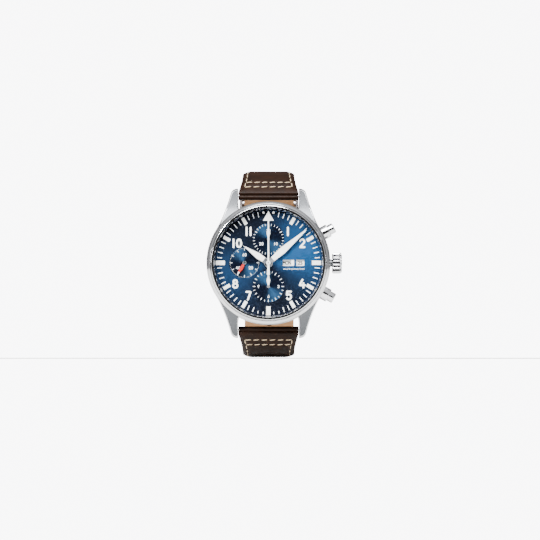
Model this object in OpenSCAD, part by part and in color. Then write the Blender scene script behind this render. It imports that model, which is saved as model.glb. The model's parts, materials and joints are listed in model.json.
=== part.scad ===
// Pilot's chronograph wristwatch, automatic, on a leather strap with a pin buckle.
// Every module is drawn in watch axes: X towards the crown, Y towards twelve o'clock,
// Z out through the dial, with zero at the centre of the case back's outer face.
// stand() then turns the watch upright: dial forwards, twelve o'clock up.

/* [Case] */
// Diameter of the case without the crown
case_d = 43; // [42:0.5:45]
// Distance between the tips of opposite lugs
lug_to_lug = 52.2; // [51.5:0.1:54]
// Gap between the two lugs of a pair
lug_gap = 21.2; // [20.6:0.1:22]
// Radius of the dial opening
opening_r = 18.3; // [17.8:0.1:18.4]
// Height of the crystal's crown above the back
total_h = 15; // [14.8:0.1:15.4]

/* [Crown and pushers] */
// Diameter of the crown
crown_d = 7.5; // [6.5:0.1:8]
// Length of the crown
crown_l = 3.5; // [3.2:0.1:3.8]
// Number of flutes round the crown
crown_flutes = 16; // [12:1:24]
// Diameter of a pusher's cap
pusher_d = 3.6; // [3.2:0.1:3.8]
// Angle of each pusher from three o'clock
pusher_angle = 28.5; // [26:0.5:32]
// Travel of a pusher
pusher_travel = 1; // [0.6:0.1:1.2]

/* [Strap] */
// Width of the strap at the lugs
strap_w = 20.8; // [20:0.1:20.9]
// Width of the strap at its ends
strap_end_w = 18; // [16:0.5:19]
// Thickness of the strap near the lugs
strap_t = 3.6; // [3:0.1:3.8]
// Thickness of the strap at its ends
strap_end_t = 2.4; // [2:0.1:2.8]
// Length of the buckle half from its spring bar to the buckle pin
upper_l = 73; // [68:1:78]
// Length of the tail half from its spring bar to its tip
lower_l = 110; // [100:1:115]
// Number of adjusting holes in the tail
hole_count = 7; // [5:1:8]

/* [Display] */
// Hours shown by the hands
show_hour = 10; // [0:1:11]
// Minutes shown by the hands
show_minute = 8.2; // [0:0.1:59.9]
// Seconds shown by the small hand
show_second = 35; // [0:1:59]

/* [Hidden] */
$fn = 96;

eps = 0.01;
case_r = case_d / 2;

// Heights of the layers, from the back to the crystal
shield_z = 1.05;       // soft-iron shield's floor
shield_t = 0.35;
rotor_z = 1.7;         // winding weight
auto_z = 2.75;         // automatic bridge
chrono_z = 3.3;        // chronograph wheel
bridge_z = 3.75;       // train bridge
bridge_t = 0.5;
train_z = 4.4;         // going train starts here
plate_z = 7.4;         // main plate
plate_t = 1;
calendar_z = 9.3;      // day and date discs
disc_t = 0.2;
dial_z = 9.8;          // dial's underside
dial_t = 0.4;
dial_top = dial_z + dial_t;
case_top = 11.6;       // seat of the bezel on the case middle
rim_top = 12;          // crest of the case's polished rim
crystal_z = 12.6;      // crystal's underside
bezel_top = 14.2;
stem_z = 6.6;          // axis of the stem and pushers

// Radii of the stacked rings
dial_r = 18.9;
flange_r = 19.15;
crystal_r = 19.1;
bezel_in_r = 19.6;
bezel_out_r = 20.15;
cavity_r = 17.1;
shield_r = 16.6;
movement_r = 15;

// Places of the counters and the wheels
counter_y = 8.2;
seconds_x = -8.3;
counter_r = 5.5;
seconds_r = 5.35;
center_n = 80;
third_pinion_n = 10;
third_n = 75;
fourth_pinion_n = 10;
fourth_n = 84;
escape_pinion_n = 7;
escape_n = 20;
barrel_n = 84;
center_pinion_n = 12;
cannon_n = 12;
minute_wheel_n = 36;
minute_pinion_n = 10;
hour_wheel_n = 40;
train_m = 0.1;
escape_m = 0.09;
barrel_m = 0.13;
motion_m = 0.12;
hour_m = motion_m * (cannon_n + minute_wheel_n) / (minute_pinion_n + hour_wheel_n);

third_a = train_m * (center_n + third_pinion_n) / 2;
fourth_a = train_m * (third_n + fourth_pinion_n) / 2;
third_x = (seconds_x * seconds_x + third_a * third_a - fourth_a * fourth_a) / (2 * seconds_x);
third_y = -sqrt(third_a * third_a - third_x * third_x);
escape_a = escape_m * (fourth_n + escape_pinion_n) / 2;
escape_dir = -100;
escape_x = seconds_x + escape_a * cos(escape_dir);
escape_y = escape_a * sin(escape_dir);
balance_x = -5.2;
balance_y = -9.3;
balance_r = 3.85;
fork_arm = 2.4;
fork_dir = atan2(balance_y - escape_y, balance_x - escape_x);
fork_x = escape_x + fork_arm * cos(fork_dir);
fork_y = escape_y + fork_arm * sin(fork_dir);
barrel_a = barrel_m * (barrel_n + center_pinion_n) / 2;
barrel_dir = 40;
barrel_x = barrel_a * cos(barrel_dir);
barrel_y = barrel_a * sin(barrel_dir);
barrel_z = 4.4;
barrel_h = 1.7;
minute_a = motion_m * (cannon_n + minute_wheel_n) / 2;
minute_dir = -60;
minute_x = minute_a * cos(minute_dir);
minute_y = minute_a * sin(minute_dir);
third_dir = atan2(third_y, third_x);
fourth_dir = atan2(-third_y, seconds_x - third_x);

// Phase that puts gear B in mesh with gear A, which has na teeth at phase pa, in direction d
function mesh_phase(pa, na, nb, d) = d + 180 + 360 / nb * (0.5 - (pa - d) * na / 360);
barrel_phase = barrel_dir + 180;
center_pinion_phase = mesh_phase(barrel_phase, barrel_n, center_pinion_n, barrel_dir + 180);
third_pinion_phase = mesh_phase(0, center_n, third_pinion_n, third_dir);
fourth_pinion_phase = mesh_phase(0, third_n, fourth_pinion_n, fourth_dir);
escape_pinion_phase = mesh_phase(0, fourth_n, escape_pinion_n, escape_dir);
minute_wheel_phase = mesh_phase(0, cannon_n, minute_wheel_n, minute_dir);
hour_wheel_phase = mesh_phase(0, minute_pinion_n, hour_wheel_n, minute_dir + 180);

// Sizes of the hands
hour_angle = 90 - (show_hour + show_minute / 60) * 30;
minute_angle = 90 - show_minute * 6;
second_angle = 90 - show_second * 6;
hour_z = 10.85;
minute_z = 11.35;
chrono_hand_z = 11.8;
small_z = 10.45;
hand_t = 0.2;
chrono_arbor_r = 0.25;
center_arbor_r = 0.55;
cannon_r = 0.75;
hour_tube_r = 1.15;
small_arbor_r = 0.15;

// Lugs and spring bars
lug_half = lug_to_lug / 2;
bar_y = 23.4;
bar_z = 2.6;
bar_r = 0.9;
bar_tip_r = 0.5;

// The strap's centre line: a short bend over the wrist, then a long gentle curve
lead_angle = 35;
bend_r = 18;
upper_r = 80;
lower_r = 150;
bend_l = bend_r * (90 - lead_angle) * PI / 180;

function bend_at(h) = [
    bar_y + bend_r * (sin(h) - sin(lead_angle)),
    bar_z - bend_r * (cos(lead_angle) - cos(h))
];
function heading(s, r) = s < bend_l
    ? lead_angle + s / bend_r * 180 / PI
    : 90 + (s - bend_l) / r * 180 / PI;
function line_at(s, r) = s < bend_l
    ? bend_at(heading(s, r))
    : bend_at(90) + r * [sin(heading(s, r)) - 1, cos(heading(s, r))];
function normal_at(s, r) = [sin(heading(s, r)), cos(heading(s, r))];
function half_t(s, l) = (strap_t + (strap_end_t - strap_t) * min(1, max(0, s) / l)) / 2;
// The outline of a strap half seen from the side: out along one face and back along the other
function strap_side(r, l, step) = concat(
    [for (s = [0 : step : l]) line_at(s, r) + half_t(s, l) * normal_at(s, r)],
    [for (s = [0 : step : l]) let (q = l - s) line_at(q, r) - half_t(q, l) * normal_at(q, r)]
);

// Turns a drawing in watch axes into the upright watch
module stand() rotate([90, 0, 0]) children();

module ring(r_out, r_in, h) {
    difference() {
        cylinder(r = r_out, h = h);
        translate([0, 0, -eps]) cylinder(r = r_in, h = h + 2 * eps);
    }
}

// A gear's outline: one trapezoid tooth per pitch, its first tooth at the phase angle
module gear_outline(n, m, phase) {
    p = 360 / n;
    root = m * (n / 2 - 1.2);
    tip = m * (n / 2 + 0.8);
    polygon([
        for (i = [0 : n - 1], c = [[root, -0.3], [tip, -0.13], [tip, 0.13], [root, 0.3]])
            let (a = phase + p * (i + c[1])) c[0] * [cos(a), sin(a)]
    ]);
}

// A wheel with a rim, arms and a bore
module wheel(n, m, phase, h, bore, arms = 5) {
    rim = m * (n / 2 - 1.2) - 0.45;
    hub = bore + 0.5;
    difference() {
        linear_extrude(h) gear_outline(n, m, phase);
        translate([0, 0, -eps]) cylinder(r = bore, h = h + 2 * eps);
        if (rim > hub + 0.6)
            for (i = [0 : arms - 1]) rotate(i * 360 / arms)
                translate([0, 0, -eps]) linear_extrude(h + 2 * eps)
                    polygon([
                        for (a = [10 : 7 : 360 / arms - 10]) rim * [cos(a), sin(a)],
                        hub * [cos(360 / arms - 16), sin(360 / arms - 16)],
                        hub * [cos(16), sin(16)]
                    ]);
    }
}

module pinion(n, m, phase, h, bore) {
    difference() {
        linear_extrude(h) gear_outline(n, m, phase);
        translate([0, 0, -eps]) cylinder(r = bore, h = h + 2 * eps);
    }
}

// ---- Case ----

// Height of a lug's upper face: level with the rim at the case, then down to the tip
function lug_top(y) = 11 - 8.6 * pow(max(0, y - 8) / (lug_half - 8), 2.3);

// A lug's outer corner, as steps in from the tip, and its hollow outer edge down to the case
lug_corner = [[11.6, 0.12], [12.2, 0.4], [12.7, 0.85], [13.05, 1.45], [13.2, 2]];
lug_root = [18, 11.8];
lug_waist = [15.3, 16.3];

function hollow(a, b, c, t) = a * (1 - t) * (1 - t) + b * 2 * t * (1 - t) + c * t * t;

// Plan of one lug: straight inner edge, rounded outer corner, outer edge curving to the case
module lug_plan() polygon(concat(
    [[lug_gap / 2, 6], [lug_gap / 2, lug_half - 0.3], [lug_gap / 2 + 0.3, lug_half]],
    [for (c = lug_corner) [c[0], lug_half - c[1]]],
    [for (t = [0.1 : 0.1 : 1]) hollow([13.2, lug_half - 2], lug_waist, lug_root, t)]
));

module lug_pair() intersection() {
    linear_extrude(12) {
        lug_plan();
        mirror([1, 0]) lug_plan();
    }
    rotate([90, 0, 90]) translate([0, 0, -22]) linear_extrude(44) polygon(concat(
        [for (y = [6 : 0.6 : lug_half]) [y, lug_top(y)]],
        [[lug_half, lug_top(lug_half)], [lug_half, 1.3], [lug_half - 0.9, 0.5],
         [22.6, 0.5], [19.5, 1.2], [6, 1.4]]
    ));
}

module case_middle() color("silver") {
    difference() {
        union() {
            rotate_extrude($fn = 180) polygon([
                [16.9, 1], [19.7, 1], [21.1, 2.4], [case_r, 3.6], [case_r, 10.5],
                [case_r - 0.2, 11], [bezel_out_r + 0.35, rim_top - 0.1],
                [bezel_out_r + 0.1, rim_top], [bezel_out_r + 0.1, case_top],
                [18, case_top], [16.9, 9]
            ]);
            lug_pair();
            mirror([0, 1, 0]) lug_pair();
        }
        translate([0, 0, 0.5]) cylinder(r = cavity_r, h = 12);
        translate([0, 0, 0.5]) cylinder(r = 18, h = 1.7);
        translate([0, 0, dial_z]) cylinder(r = flange_r, h = 3);
        along_x(0) cylinder(r = tube_r + eps, h = 30);
        for (s = [-1, 1]) rotate(s * pusher_angle) along_x(0) {
            cylinder(r = tube_r + eps, h = 30);
            translate([0, 0, collar_in]) cylinder(r = collar_r + eps, h = 10);
        }
        for (s = [-1, 1]) translate([-12, s * bar_y, bar_z])
            rotate([0, 90, 0]) cylinder(r = bar_tip_r + 0.05, h = 24);
    }
}

module bezel() color("silver") rotate_extrude($fn = 180) polygon([
    [flange_r + 0.05, case_top], [bezel_out_r, case_top], [bezel_out_r, case_top + 1.2],
    [bezel_out_r - 0.1, case_top + 1.8], [bezel_out_r - 0.3, bezel_top - 0.1],
    [bezel_out_r - 0.4, bezel_top], [bezel_in_r, bezel_top], [bezel_in_r, crystal_z],
    [flange_r + 0.05, crystal_z]
]);

module crystal() color("white", 0.3) {
    dome_h = total_h - bezel_top;
    dome_r = (crystal_r * crystal_r + dome_h * dome_h) / (2 * dome_h);
    intersection() {
        translate([0, 0, crystal_z]) cylinder(r = crystal_r, h = 4);
        translate([0, 0, total_h - dome_r]) sphere(r = dome_r, $fn = 360);
        translate([0, 0, crystal_z - 1])
            cylinder(r1 = crystal_r + 1.9, r2 = crystal_r - 0.9, h = 4);
    }
}

// One gasket grips the crystal, the other seals the back
module case_gaskets() color("black") {
    translate([0, 0, crystal_z]) ring(bezel_in_r, crystal_r, 1.45);
    translate([0, 0, 1.05]) ring(17.95, 17.15, 1.1);
}

module case_back() color("silver") {
    difference() {
        union() {
            cylinder(r1 = 15.6, r2 = 16.2, h = 0.4);
            translate([0, 0, 0.4]) cylinder(r = 19, h = 0.6);
            translate([0, 0, 1]) ring(17.05, 16.65, 1.3);
        }
        for (a = [0 : 60 : 300]) rotate(a) translate([17, -1, -eps]) cube([3, 2, 0.7]);
    }
}

module magnetic_shield() color("dimgray") difference() {
    translate([0, 0, shield_z]) cylinder(r = shield_r, h = 6.9);
    translate([0, 0, shield_z + shield_t]) cylinder(r = shield_r - 0.35, h = 8);
    for (a = [-pusher_angle, 0, pusher_angle]) rotate(a)
        translate([10, 0, stem_z]) rotate([0, 90, 0]) cylinder(r = 1.3, h = 10);
}

module movement_ring() color("goldenrod") difference() {
    union() {
        translate([0, 0, 3.6]) ring(16.2, movement_r + 0.02, 4.4);
        translate([0, 0, 8]) ring(17, movement_r + 0.02, 1.8);
    }
    for (a = [-pusher_angle, 0, pusher_angle]) rotate(a)
        translate([10, 0, stem_z]) rotate([0, 90, 0]) cylinder(r = 1.3, h = 10);
}

module dial_flange() color("silver") rotate_extrude($fn = 180) polygon([
    [opening_r, dial_top], [flange_r, dial_top], [flange_r, crystal_z],
    [opening_r + 0.4, crystal_z], [opening_r, dial_top + 0.4]
]);

// ---- Dial, calendar and hands ----

day_window = [4.93, 8.9];
date_window = [9.55, 12.44];
window_h = 2.15;
day_disc_r = 7.95;     // inside the arbors of the three counters
date_ring_r = 8.55;    // outside them

module dial() color("midnightblue") difference() {
    translate([0, 0, dial_z]) cylinder(r = dial_r, h = dial_t, $fn = 180);
    translate([0, 0, 9]) cylinder(r = hour_tube_r + 0.15, h = 2);
    for (p = [[0, counter_y], [0, -counter_y]]) translate([p[0], p[1], 0]) {
        translate([0, 0, 9]) cylinder(r = 0.3, h = 2);
        translate([0, 0, dial_top - 0.12]) cylinder(r = counter_r, h = 1);
    }
    translate([seconds_x, 0, 0]) {
        translate([0, 0, 9]) cylinder(r = 0.3, h = 2);
        translate([0, 0, dial_top - 0.12]) cylinder(r = seconds_r, h = 1);
    }
    // The day window is cut through up to the disc's edge; a thin ledge closes the rest of it
    for (w = [[day_window[0], day_disc_r - 0.05], date_window])
        translate([w[0], -window_h / 2, 9]) cube([w[1] - w[0], window_h, 2]);
    translate([day_disc_r - 0.1, -window_h / 2, dial_top - 0.25])
        cube([day_window[1] - day_disc_r + 0.1, window_h, 1]);
}

module date_disc() color("white") translate([0, 0, calendar_z])
    ring(13.9, date_ring_r, disc_t);

module day_disc() color("white") translate([0, 0, calendar_z]) ring(day_disc_r, 1.5, disc_t);

// A sword-shaped blade along X, from the hub to its tip
module blade(l, w, w_at, base, hub_w, t, tip_w = 0.3) {
    linear_extrude(t) polygon([
        [base, -hub_w / 2], [w_at, -w / 2], [l - 0.4, -tip_w / 2], [l, 0],
        [l - 0.4, tip_w / 2], [w_at, w / 2], [base, hub_w / 2]
    ]);
}

module hand(l, w, w_at, hub, bore, t = hand_t, hub_w = 1.5, tip_w = 0.3) {
    difference() {
        union() {
            cylinder(r = hub, h = t);
            blade(l, w, w_at, hub * 0.5, hub_w, t, tip_w);
        }
        translate([0, 0, -1]) cylinder(r = bore, h = 3);
    }
}

module hour_hand() color("gainsboro") rotate(hour_angle) translate([0, 0, hour_z])
    hand(10.7, 2.4, 4.4, 1.65, hour_tube_r, hub_w = 1.9);

module minute_hand() color("gainsboro") rotate(minute_angle) translate([0, 0, minute_z])
    hand(17.8, 2.7, 6.4, 1.5, cannon_r, hub_w = 1.8, tip_w = 0.5);

module chrono_hand() color("white") rotate(90) translate([0, 0, chrono_hand_z]) {
    difference() {
        union() {
            cylinder(r = 0.65, h = 0.35);
            translate([0.3, -0.22, 0]) cube([17.6, 0.44, 0.15]);
            linear_extrude(0.15)
                polygon([[-0.4, -0.3], [-4.2, -0.5], [-4.2, 0.5], [-0.4, 0.3]]);
        }
        translate([0, 0, -1]) cylinder(r = chrono_arbor_r, h = 3);
    }
}

module small_seconds_hand() color("red")
    translate([seconds_x, 0, small_z]) rotate(second_angle)
        hand(4.9, 1.1, 2.2, 0.6, small_arbor_r, 0.15, 0.5, 0.2);

module counter_hand(y) color("white") translate([0, y, small_z]) rotate(90)
    hand(4.7, 1.3, 2.3, 0.6, small_arbor_r, 0.15, 0.5, 0.2);

module minute_counter_hand() counter_hand(counter_y);
module hour_counter_hand() counter_hand(-counter_y);

// ---- Crown and pushers ----

crown_x = 22.05;       // inner end of the crown
tube_r = 1.5;          // tubes pressed into the case for the crown and the pushers

module along_x(x) translate([x, 0, stem_z]) rotate([0, 90, 0]) children();

module crown() color("silver") along_x(crown_x) difference() {
    union() {
        cylinder(r = crown_d / 2 - 0.5, h = crown_l);
        intersection() {
            linear_extrude(crown_l) polygon([
                for (i = [0 : crown_flutes - 1], c = [[-0.34, 0], [-0.2, 0.45], [0.2, 0.45], [0.34, 0]])
                    let (a = 360 / crown_flutes * (i + c[0]), r = crown_d / 2 - 0.45 + c[1])
                        r * [cos(a), sin(a)]
            ]);
            union() {
                cylinder(r1 = crown_d / 2 - 0.4, r2 = crown_d / 2, h = 0.4);
                translate([0, 0, 0.4]) cylinder(r = crown_d / 2, h = crown_l - 0.9);
                translate([0, 0, crown_l - 0.5])
                    cylinder(r1 = crown_d / 2, r2 = crown_d / 2 - 0.5, h = 0.5);
            }
        }
    }
    translate([0, 0, -1]) cylinder(r = 2.15, h = 3);
    translate([0, 0, -1]) cylinder(r = 0.45, h = 3.6);
}

module crown_gasket() color("black") along_x(22.95) ring(2.1, 1.32, 0.6);

module crown_tube() color("silver") along_x(19) difference() {
    union() {
        cylinder(r = tube_r, h = 2.6);
        cylinder(r = 1.25, h = 4.2);
    }
    translate([0, 0, -1]) cylinder(r = 0.55, h = 6);
}

// The stem carries the winding pinion and the longer sliding pinion
module winding_stem() color("gray") {
    along_x(8) cylinder(r = 0.28, h = 2);
    along_x(9.9) cylinder(r = 0.45, h = crown_x + 2.6 - 9.9);
    along_x(10.2) linear_extrude(1.4) gear_outline(10, 0.12, 0);
    along_x(12) linear_extrude(0.8) gear_outline(10, 0.12, 0);
}

collar_r = 2.35;       // collar that guides a pusher's cap
collar_in = 20.9;
collar_out = 23.85;
cap_in = 22.9;         // inner face of a pusher's cap
cap_out = 25.95;
push_tip = 13.55;      // inner end of a pusher's stem

module pusher(s) color("silver") rotate(s * pusher_angle) along_x(0) {
    translate([0, 0, cap_in]) cylinder(r = pusher_d / 2, h = cap_out - cap_in - 0.25);
    translate([0, 0, cap_out - 0.25])
        cylinder(r1 = pusher_d / 2, r2 = pusher_d / 2 - 0.3, h = 0.25);
    translate([0, 0, push_tip]) cylinder(r = 0.45, h = 2);
    translate([0, 0, push_tip + 1.5]) cylinder(r = 0.7, h = cap_in - push_tip - 1.4);
}

module start_pusher() pusher(1);
module reset_pusher() pusher(-1);

module pusher_tubes() color("silver") for (s = [-1, 1]) rotate(s * pusher_angle) along_x(0)
    difference() {
        union() {
            translate([0, 0, 18.4]) cylinder(r = tube_r, h = collar_in - 18.3);
            translate([0, 0, collar_in]) cylinder(r = collar_r, h = collar_out - collar_in - 0.2);
            translate([0, 0, collar_out - 0.2])
                cylinder(r1 = collar_r, r2 = collar_r - 0.2, h = 0.2);
        }
        translate([0, 0, 17]) cylinder(r = 0.75, h = 3.6);
        translate([0, 0, 20.3]) cylinder(r = 1.25, h = 4);
        translate([0, 0, cap_in - pusher_travel - 0.1]) cylinder(r = pusher_d / 2 + 0.05, h = 4);
    }

// A coil spring sits round each pusher's stem, between the tube's step and the cap
module pusher_spring(s) color("gray") rotate(s * pusher_angle) along_x(20.5)
    for (i = [0 : 5]) translate([0, 0, i * 0.44])
        rotate_extrude($fn = 32) translate([0.98, 0]) circle(r = 0.13, $fn = 16);

module start_spring() pusher_spring(1);
module reset_spring() pusher_spring(-1);

// ---- Movement: plates and bridges ----

// Pillars under the train bridge, and the feet of the automatic bridge by angle
pillars = [[12.9, -3.2, 0.7], [-3, 12.2, 1], [-12.4, 3.8, 1]];
cock_foot = [2.2, -12.2, 1];
auto_feet = [70, 190, 310];
auto_foot_r = 10.6;
screw_hole_r = 0.32;

module at(p) translate([p[0], p[1], 0]) children();

module drill(p, r, z) at(p) translate([0, 0, z - 1]) cylinder(r = r, h = 3);

module main_plate() color("gold") difference() {
    union() {
        translate([0, 0, plate_z]) cylinder(r = movement_r, h = plate_t);
        for (s = [-1, 1]) rotate(s * pusher_angle)
            translate([lever_x, s * lever_l, 6.3]) cylinder(r = 0.35, h = 1.2);
    }
    drill([0, 0], 0.8, plate_z);
    for (p = [[0, counter_y], [0, -counter_y], [seconds_x, 0]]) drill(p, 0.25, plate_z);
    for (p = [[minute_x, minute_y], [third_x, third_y], [escape_x, escape_y], [fork_x, fork_y],
              [balance_x, balance_y]]) drill(p, 0.22, plate_z);
    drill([barrel_x, barrel_y], 0.6, plate_z);
}

module pillar(p) at(p) translate([0, 0, bridge_z]) cylinder(r = p[2], h = plate_z - bridge_z);

// The bridge's lobe carries the foot of the automatic bridge that stands furthest out
module train_bridge() color("lightgray") difference() {
    union() {
        intersection() {
            translate([0, 0, bridge_z]) cylinder(r = 14.4, h = bridge_t);
            translate([-16, -6.6, 0]) cube([32, 24, 10]);
        }
        rotate(auto_feet[2]) translate([auto_foot_r, 0, bridge_z])
            cylinder(r = 1.9, h = bridge_t);
        for (p = pillars) pillar(p);
    }
    drill([0, 0], 0.62, bridge_z);
    drill([0, counter_y], 0.25, bridge_z);
    for (p = [[seconds_x, 0], [third_x, third_y], [escape_x, escape_y], [fork_x, fork_y]])
        drill(p, 0.2, bridge_z);
    drill([barrel_x, barrel_y], 0.6, bridge_z);
    for (p = pillars) drill(p, screw_hole_r, bridge_z - 1.5);
}

module balance_cock() color("lightgray") difference() {
    union() {
        translate([0, 0, bridge_z]) linear_extrude(bridge_t) polygon([
            for (a = [60 : 15 : 240]) [balance_x, balance_y] + 1.5 * [cos(a), sin(a)],
            [0.8, -13.8], [3.4, -13.4], [3.6, -10.4]
        ]);
        pillar(cock_foot);
    }
    drill([balance_x, balance_y], 0.2, bridge_z);
    drill(cock_foot, screw_hole_r, bridge_z - 1.5);
}

module automatic_bridge() color("lightgray") difference() {
    union() {
        translate([0, 0, auto_z]) cylinder(r = 11.4, h = 0.35);
        translate([0, 0, rotor_z + 0.05]) cylinder(r = 0.8, h = 1.2);
        for (a = auto_feet) rotate(a) translate([auto_foot_r, 0, auto_z])
            cylinder(r = 0.7, h = bridge_z - auto_z);
    }
    drill([barrel_x, barrel_y], 3.6, auto_z);
    drill([0, counter_y], 0.25, auto_z);
    for (a = auto_feet) rotate(a) drill([auto_foot_r, 0], screw_hole_r, auto_z - 1.5);
}

// A slotted screw stands head down on a bridge, its thread in the bridge's hole
module screw(r) difference() {
    union() {
        translate([0, 0, -0.25]) cylinder(r = r, h = 0.25);
        cylinder(r = screw_hole_r, h = 0.4);
    }
    translate([-r, -0.08, -0.26]) cube([2 * r, 0.16, 0.12]);
}

module bridge_screws() color("steelblue") {
    for (p = concat(pillars, [cock_foot])) at(p) translate([0, 0, bridge_z]) screw(0.6);
    for (a = auto_feet) rotate(a) translate([auto_foot_r, 0, auto_z]) screw(0.6);
}

// ---- Movement: power ----

module barrel_drum() color("khaki") translate([barrel_x, barrel_y, barrel_z]) difference() {
    union() {
        cylinder(r = 5.1, h = barrel_h);
        translate([0, 0, barrel_h - 0.5]) linear_extrude(0.5)
            gear_outline(barrel_n, barrel_m, barrel_phase);
    }
    translate([0, 0, 0.2]) cylinder(r = 4.9, h = barrel_h - 0.4);
    translate([0, 0, -1]) cylinder(r = 0.65, h = 4);
}

// The mainspring's turns, as an Archimedean spiral with a rectangular section
module spiral(r0, r1, turns, w, h, step = 15) {
    n = turns * 360;
    linear_extrude(h) polygon(concat(
        [for (a = [0 : step : n]) (r0 + (r1 - r0) * a / n) * [cos(a), sin(a)]],
        [for (a = [n : -step : 0]) (r0 + w + (r1 - r0) * a / n) * [cos(a), sin(a)]]
    ));
}

module mainspring() color("lightsteelblue")
    translate([barrel_x, barrel_y, barrel_z + 0.25]) spiral(1.25, 4.6, 6, 0.18, 1.2);

module barrel_arbor() color("gray") translate([barrel_x, barrel_y, 0]) {
    translate([0, 0, chrono_z + 0.05]) cylinder(r = 0.5, h = plate_z + 0.4 - chrono_z);
    translate([0, 0, barrel_z + 0.25]) cylinder(r = 1.15, h = 1.2);
}

module ratchet_wheel() color("silver") translate([barrel_x, barrel_y, chrono_z - 0.1])
    wheel(50, 0.12, 0, 0.3, 0.5);

// ---- Movement: going train ----

module arbor(z0, z1, r) translate([0, 0, z0]) cylinder(r = r, h = z1 - z0, $fn = 32);

module center_wheel() color("gold") difference() {
    union() {
        translate([0, 0, 6.5]) wheel(center_n, train_m, 0, 0.2, 0.4);
        translate([0, 0, 5.55]) pinion(center_pinion_n, barrel_m, center_pinion_phase, 0.6, 0.4);
        arbor(4.35, 8.4, center_arbor_r);
    }
    translate([0, 0, 3]) cylinder(r = chrono_arbor_r + 0.05, h = 8);
}

module cannon_pinion() color("silver") difference() {
    union() {
        translate([0, 0, 8.45]) linear_extrude(0.3) gear_outline(cannon_n, motion_m, 0);
        arbor(8.45, minute_z + hand_t, cannon_r);
    }
    translate([0, 0, 8]) cylinder(r = chrono_arbor_r + 0.05, h = 8);
}

module hour_wheel() color("gold") difference() {
    union() {
        translate([0, 0, 8.82]) wheel(hour_wheel_n, hour_m, hour_wheel_phase, 0.2, 0.8, 4);
        arbor(8.82, hour_z + hand_t, hour_tube_r);
    }
    translate([0, 0, 8]) cylinder(r = cannon_r + 0.05, h = 8);
}

module minute_wheel() color("gold") translate([minute_x, minute_y, 0]) {
    translate([0, 0, 8.45]) wheel(minute_wheel_n, motion_m, minute_wheel_phase, 0.25, 0.15, 4);
    translate([0, 0, 8.7]) linear_extrude(0.4) gear_outline(minute_pinion_n, hour_m, 0);
    arbor(7.6, 8.8, 0.18);
}

module third_wheel() color("gold") translate([third_x, third_y, 0]) {
    translate([0, 0, 5]) wheel(third_n, train_m, 0, 0.2, 0.15);
    translate([0, 0, 6.3]) linear_extrude(0.6)
        gear_outline(third_pinion_n, train_m, third_pinion_phase);
    arbor(3.9, 7.9, 0.16);
}

module fourth_wheel() color("gold") translate([seconds_x, 0, 0]) {
    translate([0, 0, 5.8]) wheel(fourth_n, escape_m, 0, 0.2, 0.15);
    translate([0, 0, 4.8]) linear_extrude(0.6)
        gear_outline(fourth_pinion_n, train_m, fourth_pinion_phase);
    arbor(3.9, small_z + 0.15, small_arbor_r);
}

// Club-shaped teeth lean the way the escape wheel turns
module escape_wheel() color("silver") translate([escape_x, escape_y, 0]) {
    translate([0, 0, 6.4]) linear_extrude(0.15) difference() {
        polygon([
            for (i = [0 : escape_n - 1], c = [[1.5, 0], [2, 0.32], [1.95, 0.5], [1.5, 0.3]])
                let (a = 360 / escape_n * (i + c[1])) c[0] * [cos(a), sin(a)]
        ]);
        for (a = [0 : 90 : 270]) rotate(a) translate([0.8, 0]) circle(r = 0.35, $fn = 24);
    }
    translate([0, 0, 5.6]) linear_extrude(0.6)
        gear_outline(escape_pinion_n, escape_m, escape_pinion_phase);
    arbor(3.9, 7.9, 0.16);
}

// The fork's two pallets reach round the escape wheel; its horns reach the roller
module pallet_fork() color("silver") translate([fork_x, fork_y, 0]) rotate(fork_dir) {
    translate([0, 0, 6.4]) linear_extrude(0.2) polygon([
        [-0.75, -1.6], [-0.45, -1.75], [0.1, -0.5], [2.7, -0.12], [3.3, -0.35], [3.4, -0.2],
        [3.1, 0], [3.4, 0.2], [3.3, 0.35], [2.7, 0.12], [0.1, 0.5], [-0.45, 1.75],
        [-0.75, 1.6], [-0.2, 0]
    ]);
    arbor(3.9, 7.9, 0.15);
}

module balance_wheel() color("gold") translate([balance_x, balance_y, 0]) {
    translate([0, 0, 5.3]) {
        ring(balance_r, balance_r - 0.55, 0.4);
        for (a = [0, 90]) rotate(a) translate([-balance_r + 0.3, -0.2, 0])
            cube([2 * balance_r - 0.6, 0.4, 0.2]);
    }
    translate([0, 0, 6.35]) cylinder(r = 0.4, h = 0.2, $fn = 32);
    arbor(3.9, 7.9, 0.16);
}

module hairspring() color("lightsteelblue") translate([balance_x, balance_y, 4.7]) {
    spiral(0.45, 2.6, 7, 0.06, 0.12);
    ring(0.52, 0.16, 0.12);
}

// ---- Movement: chronograph, calendar drive and winding weight ----

module chrono_wheel() color("gold") {
    translate([0, 0, chrono_z]) wheel(72, 0.08, 0, 0.15, 0.2);
    arbor(3.2, chrono_hand_z + 0.15, chrono_arbor_r);
}

module minute_counter_wheel() color("gold") translate([0, counter_y, 0]) {
    translate([0, 0, chrono_z]) wheel(30, 0.11, 0, 0.15, 0.12, 3);
    arbor(3.2, small_z + 0.15, small_arbor_r);
}

module hour_counter_wheel() color("gold") translate([0, -counter_y, 0]) {
    translate([0, 0, 6.9]) wheel(36, 0.09, 0, 0.15, 0.12, 3);
    arbor(6.2, small_z + 0.15, small_arbor_r);
}

// Each lever hangs on a stud under the main plate, its tip against its pusher's stem
lever_x = 12.8;        // distance of the stud from the watch's centre, along the pusher
lever_l = 4;           // distance of the stud from the pusher's line

module lever(s) color("silver") rotate(s * pusher_angle) mirror([0, s < 0 ? 1 : 0, 0])
    difference() {
        union() {
            translate([lever_x - 0.5, -0.6, 6.25]) cube([1.15, 1.4, 0.7]);
            translate([lever_x - 0.4, 0, 6.4]) cube([0.8, lever_l, 0.4]);
            translate([lever_x, lever_l, 6.4]) cylinder(r = 0.8, h = 0.6);
        }
        translate([lever_x, lever_l, 6]) cylinder(r = 0.4, h = 2);
    }

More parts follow.
